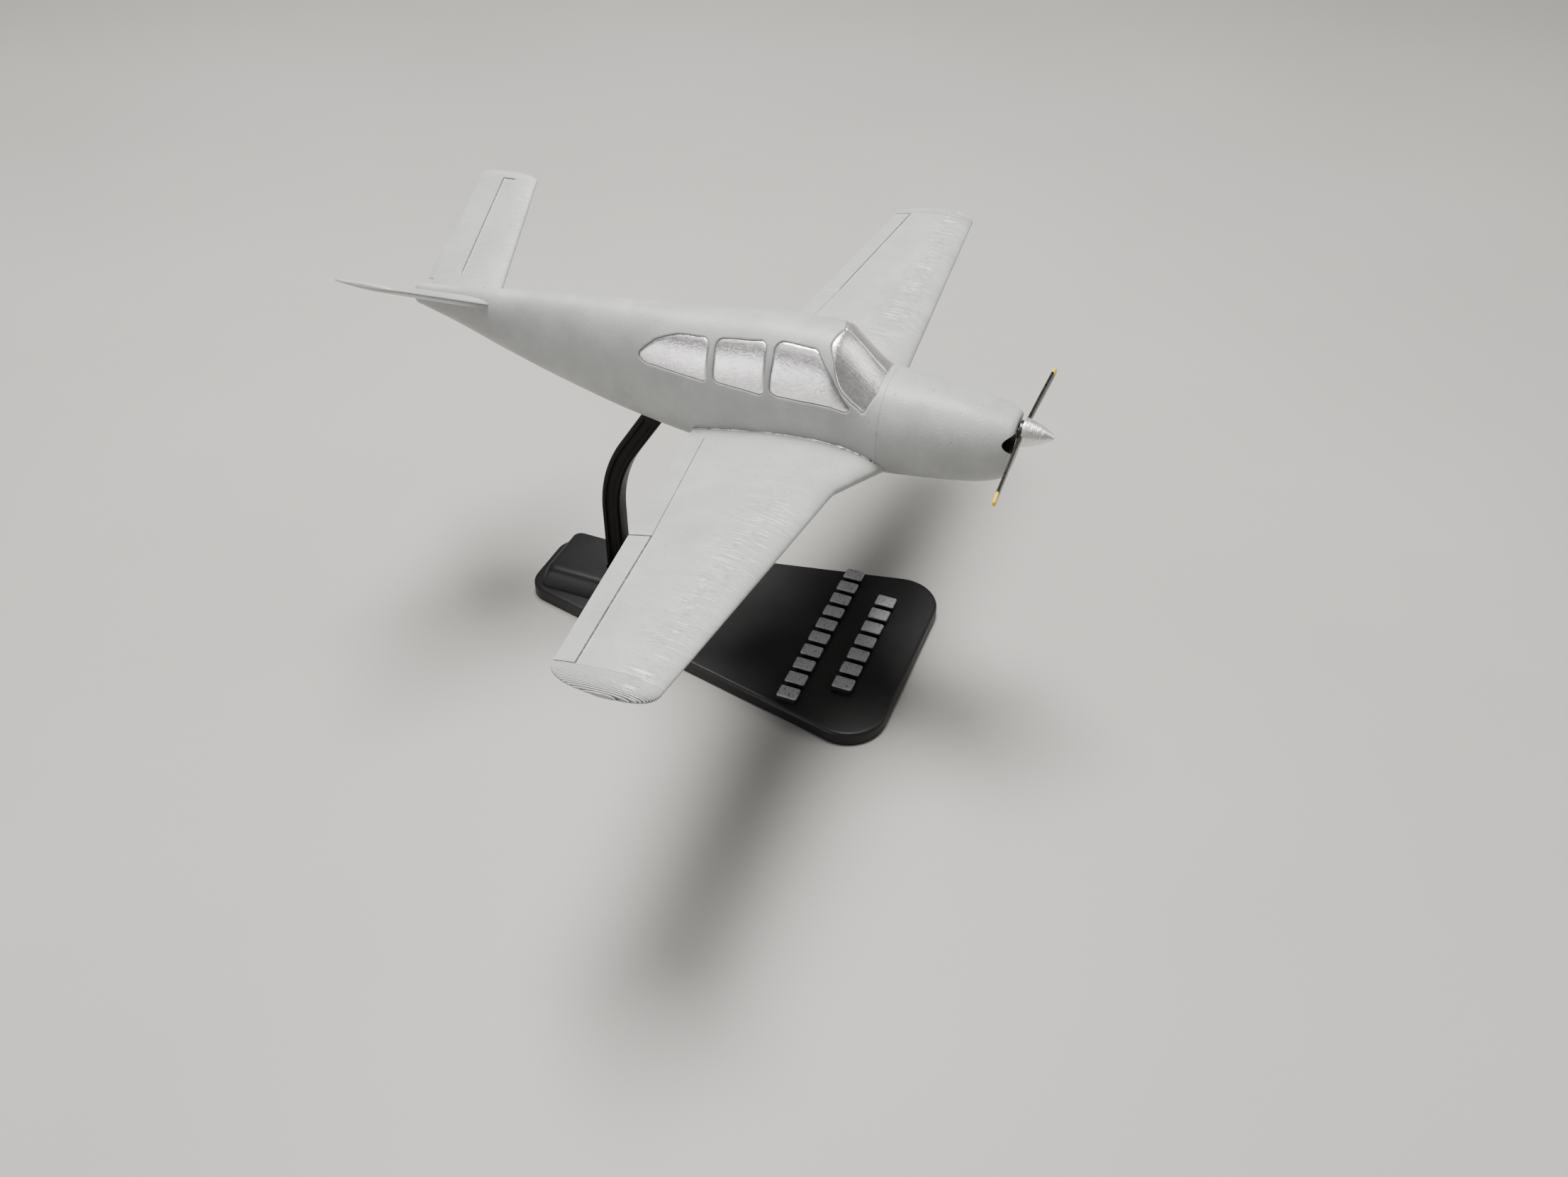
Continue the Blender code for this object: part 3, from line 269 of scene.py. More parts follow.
def rounded_outline(corners, steps):
    """Turn (u, v, radius) corners into outline points, each corner rounded by an arc."""
    outline = []
    count = len(corners)
    for i, (u, v, radius) in enumerate(corners):
        here = Vector((u, v))
        if radius <= 0:
            outline.append(here)
            continue
        back = (Vector(corners[i - 1][:2]) - here).normalized()
        ahead = (Vector(corners[(i + 1) % count][:2]) - here).normalized()
        half = back.angle(ahead) / 2
        centre = here + (back + ahead).normalized() * (radius / math.sin(half))
        first = here + back * (radius / math.tan(half)) - centre
        last = here + ahead * (radius / math.tan(half)) - centre
        turn = first.angle_signed(last)
        for k in range(steps + 1):
            outline.append(centre + Matrix.Rotation(-turn * k / steps, 2) @ first)
    return outline


def grown_outline(outline, distance):
    """Move a closed outline outwards by a distance."""
    count = len(outline)
    area = sum(outline[i - 1].cross(outline[i]) for i in range(count))
    side = 1.0 if area > 0 else -1.0
    grown = []
    for i in range(count):
        before = (outline[i] - outline[i - 1]).normalized()
        after = (outline[(i + 1) % count] - outline[i]).normalized()
        out = Vector((before.y + after.y, -before.x - after.x)) * side
        grown.append(outline[i] + out.normalized() * (distance * 2 / out.length))
    return grown


def dense_outline(outline, spacing, wobble, seed):
    """Add points along an outline's straight runs, and make its line slightly uneven."""
    dense = []
    for a, b in zip(outline, outline[1:] + outline[:1]):
        parts = max(round((b - a).length / spacing), 1)
        dense += [a.lerp(b, k / parts) for k in range(parts)]
    uneven = []
    for i, here in enumerate(dense):
        along = (dense[(i + 1) % len(dense)] - dense[i - 1]).normalized()
        shift = sum(share * noise.noise(Vector((here.x * rate, here.y * rate, seed)))
                    for rate, share in WOBBLE_WAVES)
        uneven.append(here + Vector((along.y, -along.x)) * (shift * wobble))
    return uneven


def slab(outline, profile, bm=None):
    """A flat solid; profile is (how far its outline is drawn in, height) from the bottom up."""
    rings = [[Vector((p.x, p.y, z)) for p in grown_outline(outline, -inset)] for inset, z in profile]
    return loft(rings, bm)


def circle(count):
    """Angles of evenly spread points round a circle."""
    return [2 * math.pi * k / count for k in range(count)]


def oval(x, y, z, half_width, half_height, count):
    """A ring of points at X, round (Y, Z)."""
    return [Vector((x, y + half_width * math.cos(a), z + half_height * math.sin(a)))
            for a in circle(count)]


def turned(name, profile, steps):
    """Turn (X, radius) points about the propeller's shaft; the ends are flat discs."""
    return build_mesh(name, loft([oval(x, 0, SHAFT_Z, r, r, steps) for x, r in profile]), PLANE)


# ---- Fuselage skin ----
TABLE_X = np.linspace(-123.5, 36.0, 3191)
TABLES = np.array([[smooth_value(line, x) for x in TABLE_X]
                   for line in (TOP_LINE, KEEL_LINE, HALF_WIDTHS)])


def section_size(x):
    """Half-width, height of the widest line, rise above it and drop below it, at a station."""
    top, keel, half_width = (float(np.interp(x, TABLE_X, table)) for table in TABLES)
    widest = keel + WIDEST_AT * (top - keel)
    return half_width, widest, top - widest, widest - keel


def crease(x):
    """How far the roof is folded in beside the windshield, as a share of its rise."""
    along = (x - CREASE_REAR_X) / (CREASE_FRONT_X - CREASE_REAR_X)
    return CREASE_DEPTH * math.sin(math.pi * along) ** 0.7 if 0 < along < 1 else 0.0


def skin_at_angle(x, angle, grow=0.0):
    """A point on the skin, at an angle that runs from the left side over the top."""
    half_width, widest, rise, drop = section_size(x)
    c = math.cos(angle)
    s = math.sin(angle)
    across = math.copysign(abs(c) ** (2 / SECTION_POWER), c)
    up = abs(s) ** (2 / SECTION_POWER)
    y = across * (half_width + grow)
    if s < 0:
        return Vector((x, y, widest - up * (drop + grow)))
    fold = 1 - crease(x) * abs(across)
    return Vector((x, y, widest + up * fold * (rise + grow)))


def skin_on_side(x, z, side):
    _, widest, rise, _ = section_size(x)
    share = min(max((z - widest) / rise, 0.0), 1.0)
    angle = math.asin(share ** (SECTION_POWER / 2))
    return skin_at_angle(x, angle if side > 0 else math.pi - angle)


def skin_on_nose(x, y, side):
    share = min(abs(y) / section_size(x)[0], 1.0)
    angle = math.acos(share ** (SECTION_POWER / 2))
    return skin_at_angle(x, angle if side * y > 0 else math.pi - angle)


def skin_normal(surface, u, v, side):
    du = surface(u + SURFACE_STEP, v, side) - surface(u - SURFACE_STEP, v, side)
    dv = surface(u, v + SURFACE_STEP, side) - surface(u, v - SURFACE_STEP, side)
    normal = du.cross(dv).normalized()
    outwards = surface(u, v, side) - Vector((u, 0, BODY_MIDDLE_Z))
    return normal if normal.dot(outwards) > 0 else -normal


def ring_angles(count):
    """Angles spread so that points lie nearly evenly along a body section."""
    fine = np.linspace(0, 2 * math.pi, 4001)
    c, s = np.cos(fine), np.sin(fine)
    y = np.sign(c) * np.abs(c) ** (2 / SECTION_POWER)
    z = np.sign(s) * np.abs(s) ** (2 / SECTION_POWER)
    run = np.concatenate([[0], np.cumsum(np.hypot(np.diff(y), np.diff(z)))])
    return np.interp(np.linspace(0, run[-1], count + 1)[:-1], run, fine)


RING_ANGLES = ring_angles(176)


def skin_ring(x, grow=0.0):
    return [skin_at_angle(x, a, grow) for a in RING_ANGLES]


def shrunk_ring(ring, x, centre_z, share):
    return [Vector((x, p.y * share, centre_z + (p.z - centre_z) * share)) for p in ring]


def tail_end_rings():
    base = skin_ring(TAIL_ROUND_X)
    rings = []
    for turn in np.linspace(0.12, 1.47, 9):
        x = TAIL_ROUND_X + (TAIL_END_X - TAIL_ROUND_X) * math.sin(turn)
        rings.append(shrunk_ring(base, x, TAIL_END_Z, math.cos(turn)))
    return rings


def skin_patch(surface, outline, side, profile, cell):
    """A closed piece that follows the skin: profile is (outline growth, depth) from out to in."""
    bm = bmesh.new()
    rows = []
    for grow, depth in profile:
        flat = grown_outline(outline, grow)
        row = []
        for p, q in zip(outline, flat):
            place = surface(q.x, q.y, side) - skin_normal(surface, p.x, p.y, side) * depth
            row.append(bm.verts.new(place))
        rows.append((row, flat, depth))
    for (a, _, _), (b, _, _) in zip(rows, rows[1:]):
        for i in range(len(a)):
            j = (i + 1) % len(a)
            bm.faces.new((a[i], a[j], b[j], b[i]))
    for row, flat, depth in (rows[0], rows[-1]):
        add_cap(bm, row, surface, flat, side, depth, cell)
    return bm


def add_cap(bm, row, surface, flat, side, depth, cell):
    """Close a patch with a sheet that follows the skin at one depth."""
    count = len(flat)
    us = np.arange(min(p.x for p in flat) + cell / 2, max(p.x for p in flat), cell)
    vs = np.arange(min(p.y for p in flat) + cell / 2, max(p.y for p in flat), cell)
    edge = np.array([(p.x, p.y) for p in flat])
    inner = []
    for u in us:
        for v in vs:
            if np.hypot(edge[:, 0] - u, edge[:, 1] - v).min() > cell * 0.45 and inside(edge, u, v):
                inner.append(Vector((u, v)))
    result = delaunay_2d_cdt(list(flat) + inner, [], [list(range(count))], 1, 1e-6)
    verts = []
    for k, p in enumerate(result[0]):
        source = result[3][k]
        if source and source[0] < count:
            verts.append(row[source[0]])
        else:
            place = surface(p.x, p.y, side) - skin_normal(surface, p.x, p.y, side) * depth
            verts.append(bm.verts.new(place))
    for face in result[2]:
        bm.faces.new([verts[k] for k in face])


def inside(edge, u, v):
    """Whether a point lies inside a closed outline."""
    after = np.roll(edge, -1, axis=0)
    spans = (edge[:, 1] > v) != (after[:, 1] > v)
    rise = np.where(after[:, 1] == edge[:, 1], 1.0, after[:, 1] - edge[:, 1])
    crossing = edge[:, 0] + (v - edge[:, 1]) * (after[:, 0] - edge[:, 0]) / rise
    return bool(np.count_nonzero(spans & (u < crossing)) % 2)


# ---- Wing and fin shapes ----
def foil_height(share, thickness, chord, camber, side):
    """Height of a wing section's upper (side 1) or lower (side -1) face at a share of its chord."""
    half = 5 * thickness * (
        0.2969 * math.sqrt(share) - 0.1260 * share - 0.3516 * share**2 + 0.2843 * share**3
        - 0.1036 * share**4
    )
    half += TRAILING_EDGE / 2 * share * min(thickness / 2.0, 1.0)
    if share < WING_CAMBER_AT:
        bow = (2 * WING_CAMBER_AT * share - share**2) / WING_CAMBER_AT**2
    else:
        bow = 1 - 2 * WING_CAMBER_AT + 2 * WING_CAMBER_AT * share - share**2
        bow /= (1 - WING_CAMBER_AT) ** 2
    return camber * chord * bow + side * half


def plan_edges(plan, at):
    """Nose, tail and thickness at a distance along a wing or a fin."""
    lines = (plan.nose, plan.tail, plan.thickness)
    nose, tail, thickness = (straight_value(line, min(at, plan.cap)) for line in lines)
    if at <= plan.cap:
        return nose, tail, thickness
    share = (at - plan.cap) / (plan.tip - plan.cap)
    for_nose, for_tail, for_thickness = (max(1 - share**p, 0.0) ** (1 / p) for p in plan.powers)
    middle = (nose + tail) / 2
    half = (nose - tail) / 2
    nose = middle + half * (plan.blunt + (1 - plan.blunt) * for_nose)
    tail = middle - half * (plan.blunt + (1 - plan.blunt) * for_tail)
    return nose, tail, thickness * max(for_thickness, THINNEST_TIP)


def wing_rise(y):
    return (y - WING_KINK_Y) * math.tan(WING_DIHEDRAL)


# Offsets from a hinge line, towards the tail, where a section has its extra points.
HINGE_OFFSETS = (-1.3, -0.85, -0.6, -0.42, -0.28, -0.16, 0.0, 0.16, 0.3, 0.6, 1.1)


def section_shares(hinge_share, chord, front_points, rear_points):
    """Shares of the chord from nose to tail, close together at the nose and at the hinge line."""
    near = hinge_share + HINGE_OFFSETS[0] / chord
    far = hinge_share + HINGE_OFFSETS[-1] / chord
    front = [near * (1 - math.cos(math.pi / 2 * k / front_points)) for k in range(front_points)]
    middle = [hinge_share + offset / chord for offset in HINGE_OFFSETS]
    rear = [far + (1 - far) * k / rear_points for k in range(1, rear_points + 1)]
    return front + middle + rear


# Engraved lines: (height, middle, width, power) of each ridge and cut across them.
HINGE_SHAPE = ((0.08, -0.42, 0.16, 2), (-0.28, 0.0, 0.18, 4))
FLAP_END_SHAPE = ((0.16, -0.42, 0.22, 2), (-0.3, 0.0, 0.16, 4))
WING_END_SHAPE = ((0.05, 0.35, 0.15, 2), (-0.24, 0.0, 0.15, 4))
FIN_END_SHAPE = ((-0.2, 0.0, 0.15, 4),)
FLAP_HINGE_SHARE = 0.55
FIN_HINGE_SHARE = 0.85
AILERON_SINK = 0.05


def line_mark(shape, offset):
    """Height of an engraved line and its ridge at a distance from the line."""
    return sum(height * math.exp(-(((offset - middle) / width) ** power))
               for height, middle, width, power in shape)


def wing_mark(x, y, hinge_x):
    """How far the wing's skin stands out or in at a point, for its engraved lines."""
    if y > WING_CAP_Y + 0.6:
        return 0.0
    offset = hinge_x - x
    mark = 0.0
    if HINGE_START_Y < y < AILERON_END_Y:
        mark += (FLAP_HINGE_SHARE if y < FLAP_SPLIT_Y else 1.0) * line_mark(HINGE_SHAPE, offset)
        if offset > 0.1:
            mark += line_mark(FLAP_END_SHAPE, y - FLAP_SPLIT_Y)
            mark -= AILERON_SINK if y > FLAP_SPLIT_Y + 0.2 else 0.0
    if offset > -0.2:
        mark += line_mark(WING_END_SHAPE, y - AILERON_END_Y)
    return mark


def foil_section(plan, at, outline_at, hinge_x, points, camber, mark, place):
    """The section for outline_at, placed at a distance: its points, and how far each stands out.

    It runs from the tail over the top to the nose, and back underneath.
    """
    nose, tail, thickness = plan_edges(plan, outline_at)
    chord = max(nose - tail, 0.4)
    reach = min(at, plan.cap)
    full_nose = straight_value(plan.nose, reach)
    full_chord = full_nose - straight_value(plan.tail, reach)
    shares = section_shares((full_nose - hinge_x) / full_chord, full_chord, *points)
    ring = []
    marks = []
    for side, row in ((1, shares[::-1]), (-1, shares[1:])):
        for share in row:
            x = nose - share * chord
            marks.append(mark(x))
            ring.append(place(x, foil_height(share, thickness, chord, camber, side) + side * marks[-1]))
    return ring, marks


def wing_stations():
    """Distances from the centreline of the wing's sections up to where its tip starts, closer together
    at the kink and the engraved lines.
    """
    even = list(np.arange(WING_ROOT_Y, 100.0, 1.1))
    extra = [WING_KINK_Y + d for d in (-0.8, 0.0, 0.8)]
    extra += [FLAP_SPLIT_Y + d for d in (-0.9, -0.65, -0.42, -0.26, -0.14, 0.0, 0.14, 0.24, 0.4)]
    extra += [AILERON_END_Y + d for d in (-0.4, -0.2, -0.12, 0.0, 0.12, 0.22, 0.3)]
    near = [y for y in even if all(abs(y - e) > 0.3 for e in extra)]
    return sorted(near + extra)


def wing_section(side, y, outline_y):
    hinge_x = straight_value(HINGE_LINE, min(y, AILERON_END_Y))
    return foil_section(WING, y, outline_y, hinge_x, (46, 12), WING_CAMBER,
                        lambda x: wing_mark(x, y, hinge_x),
                        lambda x, z: Vector((x, y * side, wing_rise(y) + z)))


def add_foil(name, sections, axes, look, *extras):
    """Make a wing or a fin from its sections, with its marks kept for its material."""
    bm = loft([ring for ring, _ in sections])
    for extra in extras:
        extra(bm)
    item = build_mesh(name + "_skin", bm, axes)
    keep_values(item, "mark", [m for _, marks in sections for m in marks])
    return add_piece(item, "aircraft", name, look)


TIP_STEPS = 16
# One printed step at the tip: (height up the step, how far its outline draws in, mark).
TIP_STEP_ROWS = ((0.0, 0.0, -0.22), (0.30, 0.0, 0.0), (0.78, 0.0, 0.03), (0.93, 0.3, 0.05))
# Painted glints on the wing: a band of light and dark chordwise strokes at this share of the chord,
# fading in from this distance out.
GLINT_AT = 0.22
GLINT_WIDTH = 0.14
GLINT_START_Y = 24.0


def add_wing(name, side):
    sections = [wing_section(side, y, y) for y in wing_stations()]
    step = (WING.tip - 0.12 - WING_CAP_Y) / TIP_STEPS
    for k in range(TIP_STEPS):
        low = WING_CAP_Y + 0.1 + k * step
        for up, shrink, mark in TIP_STEP_ROWS:
            ring, _ = wing_section(side, low + step * up, low + step * 0.75 + step * shrink)
            sections.append((ring, [mark] * len(ring)))
    item = add_foil(name, sections, PLANE, LOOKS["wing"])
    x, y, _ = keep_grain(item, PLANE).T
    y = np.abs(y)
    nose, tail = (np.interp(y, *zip(*line)) for line in (WING.nose, WING.tail))
    # How strongly each point takes the painted glints: a band behind the leading edge, growing towards
    # the tip.
    band = np.exp(-((((nose - x) / (nose - tail) - GLINT_AT) / GLINT_WIDTH) ** 2))
    keep_values(item, "glint_band", band * np.clip((y - GLINT_START_Y) / 20, 0, 1))


def fin_axes(side):
    """The matrix from a fin's own X, distance along it and height to the plane's axes."""
    return (Matrix.Translation((0, side * FIN_ROOT_Y, FIN_ROOT_Z))
            @ Matrix.Rotation(side * FIN_DIHEDRAL, 4, "X") @ Matrix.Diagonal((1, side, 1, 1)))


def fin_mark(x, s):
    mark = 0.0
    if 1.0 < s < 31.0:
        mark += FIN_HINGE_SHARE * line_mark(HINGE_SHAPE, FIN_HINGE_X - x)
    if 0.0 < x - FIN_HINGE_X < 3.4 and s < 31.4:
        mark += line_mark(FIN_END_SHAPE, s - FIN_END_S)
    return mark


def add_fin(name, side):
    stations = sorted([*np.arange(FIN_START_S, 30.2, 0.9), 30.5, 30.72, 30.8, 30.9, 31.0, 31.1, 31.3])
    stations += [FIN_CAP_S + share * (FIN.tip - FIN_CAP_S)
                 for share in (0.25, 0.45, 0.62, 0.76, 0.87, 0.95, 0.985)]
    sections = [foil_section(FIN, s, s, FIN_HINGE_X, (26, 8), 0.0, lambda x, s=s: fin_mark(x, s),
                             lambda x, z, s=s: Vector((x, s, z))) for s in stations]
    add_foil(name, sections, PLANE @ fin_axes(side), LOOKS["fin"], add_tab)


def add_tab(bm):
    """The trim tab: a thin strip with rounded edges that stands out behind the fin."""
    rings = []
    for s, grow in ((TAB_ROOT_S, -0.12), (TAB_ROOT_S + 0.12, 0.0),
                    (TAB_TIP_S - 0.12, 0.0), (TAB_TIP_S, -0.12)):
        tail = plan_edges(FIN, s)[1]
        front, back = tail + TAB_DEPTH - TAB_REACH, tail - TAB_REACH - grow
        high, low = 0.4 + grow, 0.2 + grow / 2
        upper = [(front, high), (back + 0.2, low + 0.03), (back, low * 0.6)]
        rings.append([Vector((x, s, z)) for x, z in upper + [(x, -z) for x, z in upper[::-1]]])
    loft(rings, bm)


# ---- Materials ----
COAT_ROUGHNESS = 0.08


class Look:
    """A procedural material: each method adds a node and returns its output socket."""

    def __init__(self, name, colour, roughness, metallic=0.0, specular=0.5, coat=0.0):
        self.material = bpy.data.materials.new(name)
        self.material.use_nodes = True
        self.tree = self.material.node_tree
        self.shader = self.tree.nodes["Principled BSDF"]
        self.material.diffuse_color = (*colour, 1.0)
        self.set(self.shader, {
            "Base Color": (*colour, 1.0), "Roughness": roughness, "Metallic": metallic,
            "Specular IOR Level": specular, "Coat Weight": coat, "Coat Roughness": COAT_ROUGHNESS,
        })

    def set(self, node, values):
        for key, value in values.items():
            if isinstance(value, bpy.types.NodeSocket):
                self.tree.links.new(value, node.inputs[key])
            else:
                node.inputs[key].default_value = value

    def node(self, kind, values, **settings):
        node = self.tree.nodes.new("ShaderNode" + kind)
        for key, value in settings.items():
            setattr(node, key, value)
        self.set(node, values)
        return node.outputs

    def attribute(self, name, output="Fac"):
        return self.node("Attribute", {}, attribute_name=name)[output]

    def grain(self):
        return self.attribute("grain", "Vector")

    def place(self):
        return self.node("TexCoord", {})["Object"]

    def noise(self, vector, scale, detail=2.0, roughness=0.5, distortion=0.0, output="Fac"):
        """Noise with one scale, or with one for each axis."""
        if isinstance(scale, tuple):
            vector, scale = self.vector("MULTIPLY", vector, scale), 1.0
        return self.node("TexNoise", {
            "Vector": vector, "Scale": scale, "Detail": detail, "Roughness": roughness,
            "Distortion": distortion,
        })[output]

    def range(self, value, low, high, to_low=0.0, to_high=1.0):
        return self.node("MapRange", {
            "Value": value, "From Min": low, "From Max": high, "To Min": to_low, "To Max": to_high,
        })["Result"]

    def vector(self, operation, a, b):
        return self.node("VectorMath", {0: a, 1: b}, operation=operation)[0]

    def math(self, operation, a, b=0.0):
        return self.node("Math", {0: a, 1: b}, operation=operation)[0]

    def times(self, a, b):
        return self.math("MULTIPLY", a, b)

    def total(self, *parts):
        """Add up sockets, or (socket, weight) pairs."""
        sockets = [self.times(*part) if isinstance(part, tuple) else part for part in parts]
        result = sockets[0]
        for socket in sockets[1:]:
            result = self.math("ADD", result, socket)
        return result

    def mix(self, factor, a, b):
        """Go from one colour, or value, to another."""
        a, b = ((*value, 1) if isinstance(value, tuple) else value for value in (a, b))
        return self.node("Mix", {0: factor, 6: a, 7: b}, data_type="RGBA")[2]

    def cover(self, colour, mask, strength, paint):
        """Lay a second colour over the first where the mask is high."""
        return self.mix(self.times(mask, strength), colour, paint)

    def split(self, vector):
        return self.node("SeparateXYZ", {"Vector": vector})

    def spots(self, vector, scale, outer, inner, share, channel=0):
        """Small round spots in a share of the cells of a random pattern."""
        cells = self.node("TexVoronoi", {"Vector": vector, "Scale": scale})
        chosen = self.range(self.split(cells["Color"])[channel], 1 - share, 1.01 - share)
        return self.times(self.range(cells["Distance"], outer, inner), chosen)

    def finish(self, colour, height=None, depth=0.0, **links):
        """Connect the results to the shader; height is raised by depth metres."""
        if height:
            normal = self.node("Bump", {"Height": height, "Distance": depth, "Strength": 1.0})
            links["normal"] = normal["Normal"]
        self.set(self.shader, {"Base Color": colour})
        self.set(self.shader, {key.title(): value for key, value in links.items()})
        return self.material


def paint_look(name, stack_axis, strokes, layering, pit_scale, pit_share):
    """Satin grey paint over printed layers that are stacked along one of the part's axes."""
    look = Look(name, (0.40, 0.41, 0.41), 0.46)
    grain = look.grain()
    thick, thin = (tuple(across if axis == stack_axis else along for axis in range(3))
                   for along, across in ((0.16, 4.4), (0.32, 10.0)))
    streaks = look.noise(grain, thick, detail=4.0, roughness=0.62)
    lines = look.noise(grain, thin)
    broad = look.noise(grain, 0.09, detail=3.0, roughness=0.6)
    peel = look.noise(grain, 1.9, detail=4.0, roughness=0.72)
    grit = look.noise(grain, 4.5, roughness=0.8)
    tone = look.total((look.mix(layering, broad, streaks), 0.5), broad, (grit, 0.35))
    colour = look.mix(look.range(tone, 0.66, 1.20), (0.335, 0.346, 0.342), (0.432, 0.448, 0.432))
    ragged = look.vector("MULTIPLY", look.noise(grain, 3.0, output="Color"), (0.5, 0.5, 0.5))
    shifted = look.vector("ADD", grain, ragged)
    pit = look.spots(shifted, pit_scale, 0.15, 0.06, pit_share)
    colour = look.cover(colour, pit, 0.6, (0.10, 0.10, 0.105))
    speck = look.spots(grain, 0.6, 0.07, 0.035, 0.16, channel=1)
    colour = look.cover(colour, speck, 0.8, (0.74, 0.75, 0.74))
    height = look.total((streaks, 0.80 * layering), (lines, 0.30 * layering),
                        (peel, 1.0 - 0.55 * layering), (pit, -1.0))
    if strokes:
        # On the engraved lines: painted shade in their grooves and a painted highlight along their
        # ridges, both broken up by noise.
        mark = look.attribute("mark")
        mark_breakup = look.noise(grain, 2.2, roughness=0.7)
        groove_shade = look.times(look.range(mark, -0.065, -0.14), look.range(mark_breakup, 0.28, 0.50, 0.45, 1.0))
        colour = look.cover(colour, groove_shade, 0.92, (0.045, 0.045, 0.050))
        ridge_highlight = look.times(look.range(mark, 0.03, 0.08), look.range(mark_breakup, 0.46, 0.58))
        colour = look.cover(colour, ridge_highlight, 0.7, (0.80, 0.81, 0.79))
    # On the wing: painted glints, light and dark chordwise strokes near the leading edge where the
    # printed layers catch the light; the light strokes also raise the bump a little.
    if strokes == "wing":
        glint_band = look.attribute("glint_band")
        glint_strokes = look.noise(grain, (0.15, 3.4, 0.15), roughness=0.6)
        patchy = look.noise(grain, (0.30, 0.62, 0.30), detail=3.0, roughness=0.65)
        glint_light = look.times(look.range(glint_strokes, 0.52, 0.58), look.range(patchy, 0.38, 0.50))
        glint_light = look.times(glint_light, glint_band)
        glint_dark = look.times(look.range(glint_strokes, 0.44, 0.36), look.range(patchy, 0.42, 0.58))
        glint_dark = look.times(glint_dark, glint_band)
        colour = look.cover(colour, glint_light, 0.85, (0.88, 0.89, 0.87))
        colour = look.cover(colour, glint_dark, 0.35, (0.20, 0.20, 0.20))
        height = look.total(height, (glint_light, 1.3))
    roughness = look.range(look.total(streaks, peel), 0.7, 1.3, 0.30, 0.46)
    return look.finish(colour, height, 0.00011, roughness=roughness)


def silver_look(name, along, darkest, smoothest):
    """Bright silver paint laid on with a brush."""
    look = Look(name, (0.90, 0.88, 0.86), 0.32, metallic=0.84)
    grain = look.grain()
    strokes = look.noise(grain, along, detail=4.0, roughness=0.65, distortion=0.4)
    flakes = look.noise(grain, 2.6, detail=4.0, roughness=0.75)
    blotch = look.noise(grain, 0.35, detail=3.0)
    colour = look.mix(look.range(look.total(strokes, flakes), 0.78, 1.12), darkest, (0.99, 0.97, 0.96))
    colour = look.mix(look.range(blotch, 0.35, 0.7, 0.0, 0.4), colour, (0.97, 0.95, 0.95))
    roughness = look.range(look.total(strokes, blotch), 0.6, 1.4, smoothest, smoothest + 0.16)
    return look.finish(colour, look.total(strokes, (flakes, 0.7)), 0.00006, roughness=roughness)


def stand_look(name, deep, bright, specular):
    """Satin black print with a faint grain, fine layers on its sides and a little dust."""
    look = Look(name, deep, 0.42, specular=specular)
    grain = look.grain()
    texture = look.noise(grain, 2.6, detail=3.0, roughness=0.75)
    layers = look.noise(grain, (0.12, 0.12, 4.6), detail=1.0)
    cloud = look.noise(grain, 0.06, detail=3.0)
    colour = look.mix(look.range(cloud, 0.35, 0.7), deep, bright)
    dust = look.spots(grain, 0.42, 0.055, 0.025, 0.12)
    colour = look.cover(colour, dust, 0.35, (0.5, 0.5, 0.5))
    return look.finish(colour, look.total((texture, 0.35), (layers, 0.5)), 0.00005,
                       roughness=look.range(texture, 0.3, 0.7, 0.34, 0.52))


def marker_look():
    """Dry-brushed silver on the tops of the bars, black print on their sides."""
    look = Look("marker_dry_brush", (0.30, 0.30, 0.31), 0.5, metallic=0.3)
    grain = look.grain()
    rubbed = look.noise(grain, (2.2, 0.8, 1.0), detail=4.0, roughness=0.7)
    cover = look.times(look.range(look.split(grain)[2], 5.35, 5.75), look.range(rubbed, 0.30, 0.46))
    return look.finish(look.mix(cover, (0.014, 0.014, 0.016), (0.46, 0.46, 0.47)), rubbed, 0.00006,
                       metallic=look.times(cover, 0.45),
                       roughness=look.range(rubbed, 0.3, 0.7, 0.38, 0.58))


def propeller_look():
    """Gloss black blades with warm yellow tips."""
    look = Look("propeller_black_yellow", (0.012, 0.012, 0.012), 0.26, specular=0.4)
    grain = look.grain()
    _, y, z = look.split(grain)
    reach = look.math("SQRT", look.total((y, y), (z, z)))
    uneven = look.noise(grain, 1.6)
    tip = look.range(look.total(reach, (uneven, 0.5)), 25.75, 25.95)
    yellow = look.mix(look.range(uneven, 0.35, 0.65), (0.90, 0.58, 0.0), (0.95, 0.68, 0.0))
    smudge = look.mix(look.range(look.noise(grain, 0.9, detail=3.0), 0.4, 0.7),
                      (0.010, 0.010, 0.010), (0.032, 0.027, 0.020))
    roughness = look.total((tip, 0.16), look.range(uneven, 0.3, 0.7, 0.16, 0.3))
    return look.finish(look.mix(tip, smudge, yellow), uneven, 0.00004, roughness=roughness)


def metal_look(name, colour, worn, roughness):
    """A turned metal part with fine marks round it and slight tarnish."""
    look = Look(name, colour, roughness, metallic=1.0)
    place = look.place()
    turning = look.noise(place, (4000, 600, 600))
    tarnish = look.noise(place, 500, detail=3.0)
    return look.finish(look.mix(look.range(tarnish, 0.35, 0.7), colour, worn), turning, 0.00002,
                       roughness=look.range(turning, 0.3, 0.7, roughness - 0.08, roughness + 0.1))


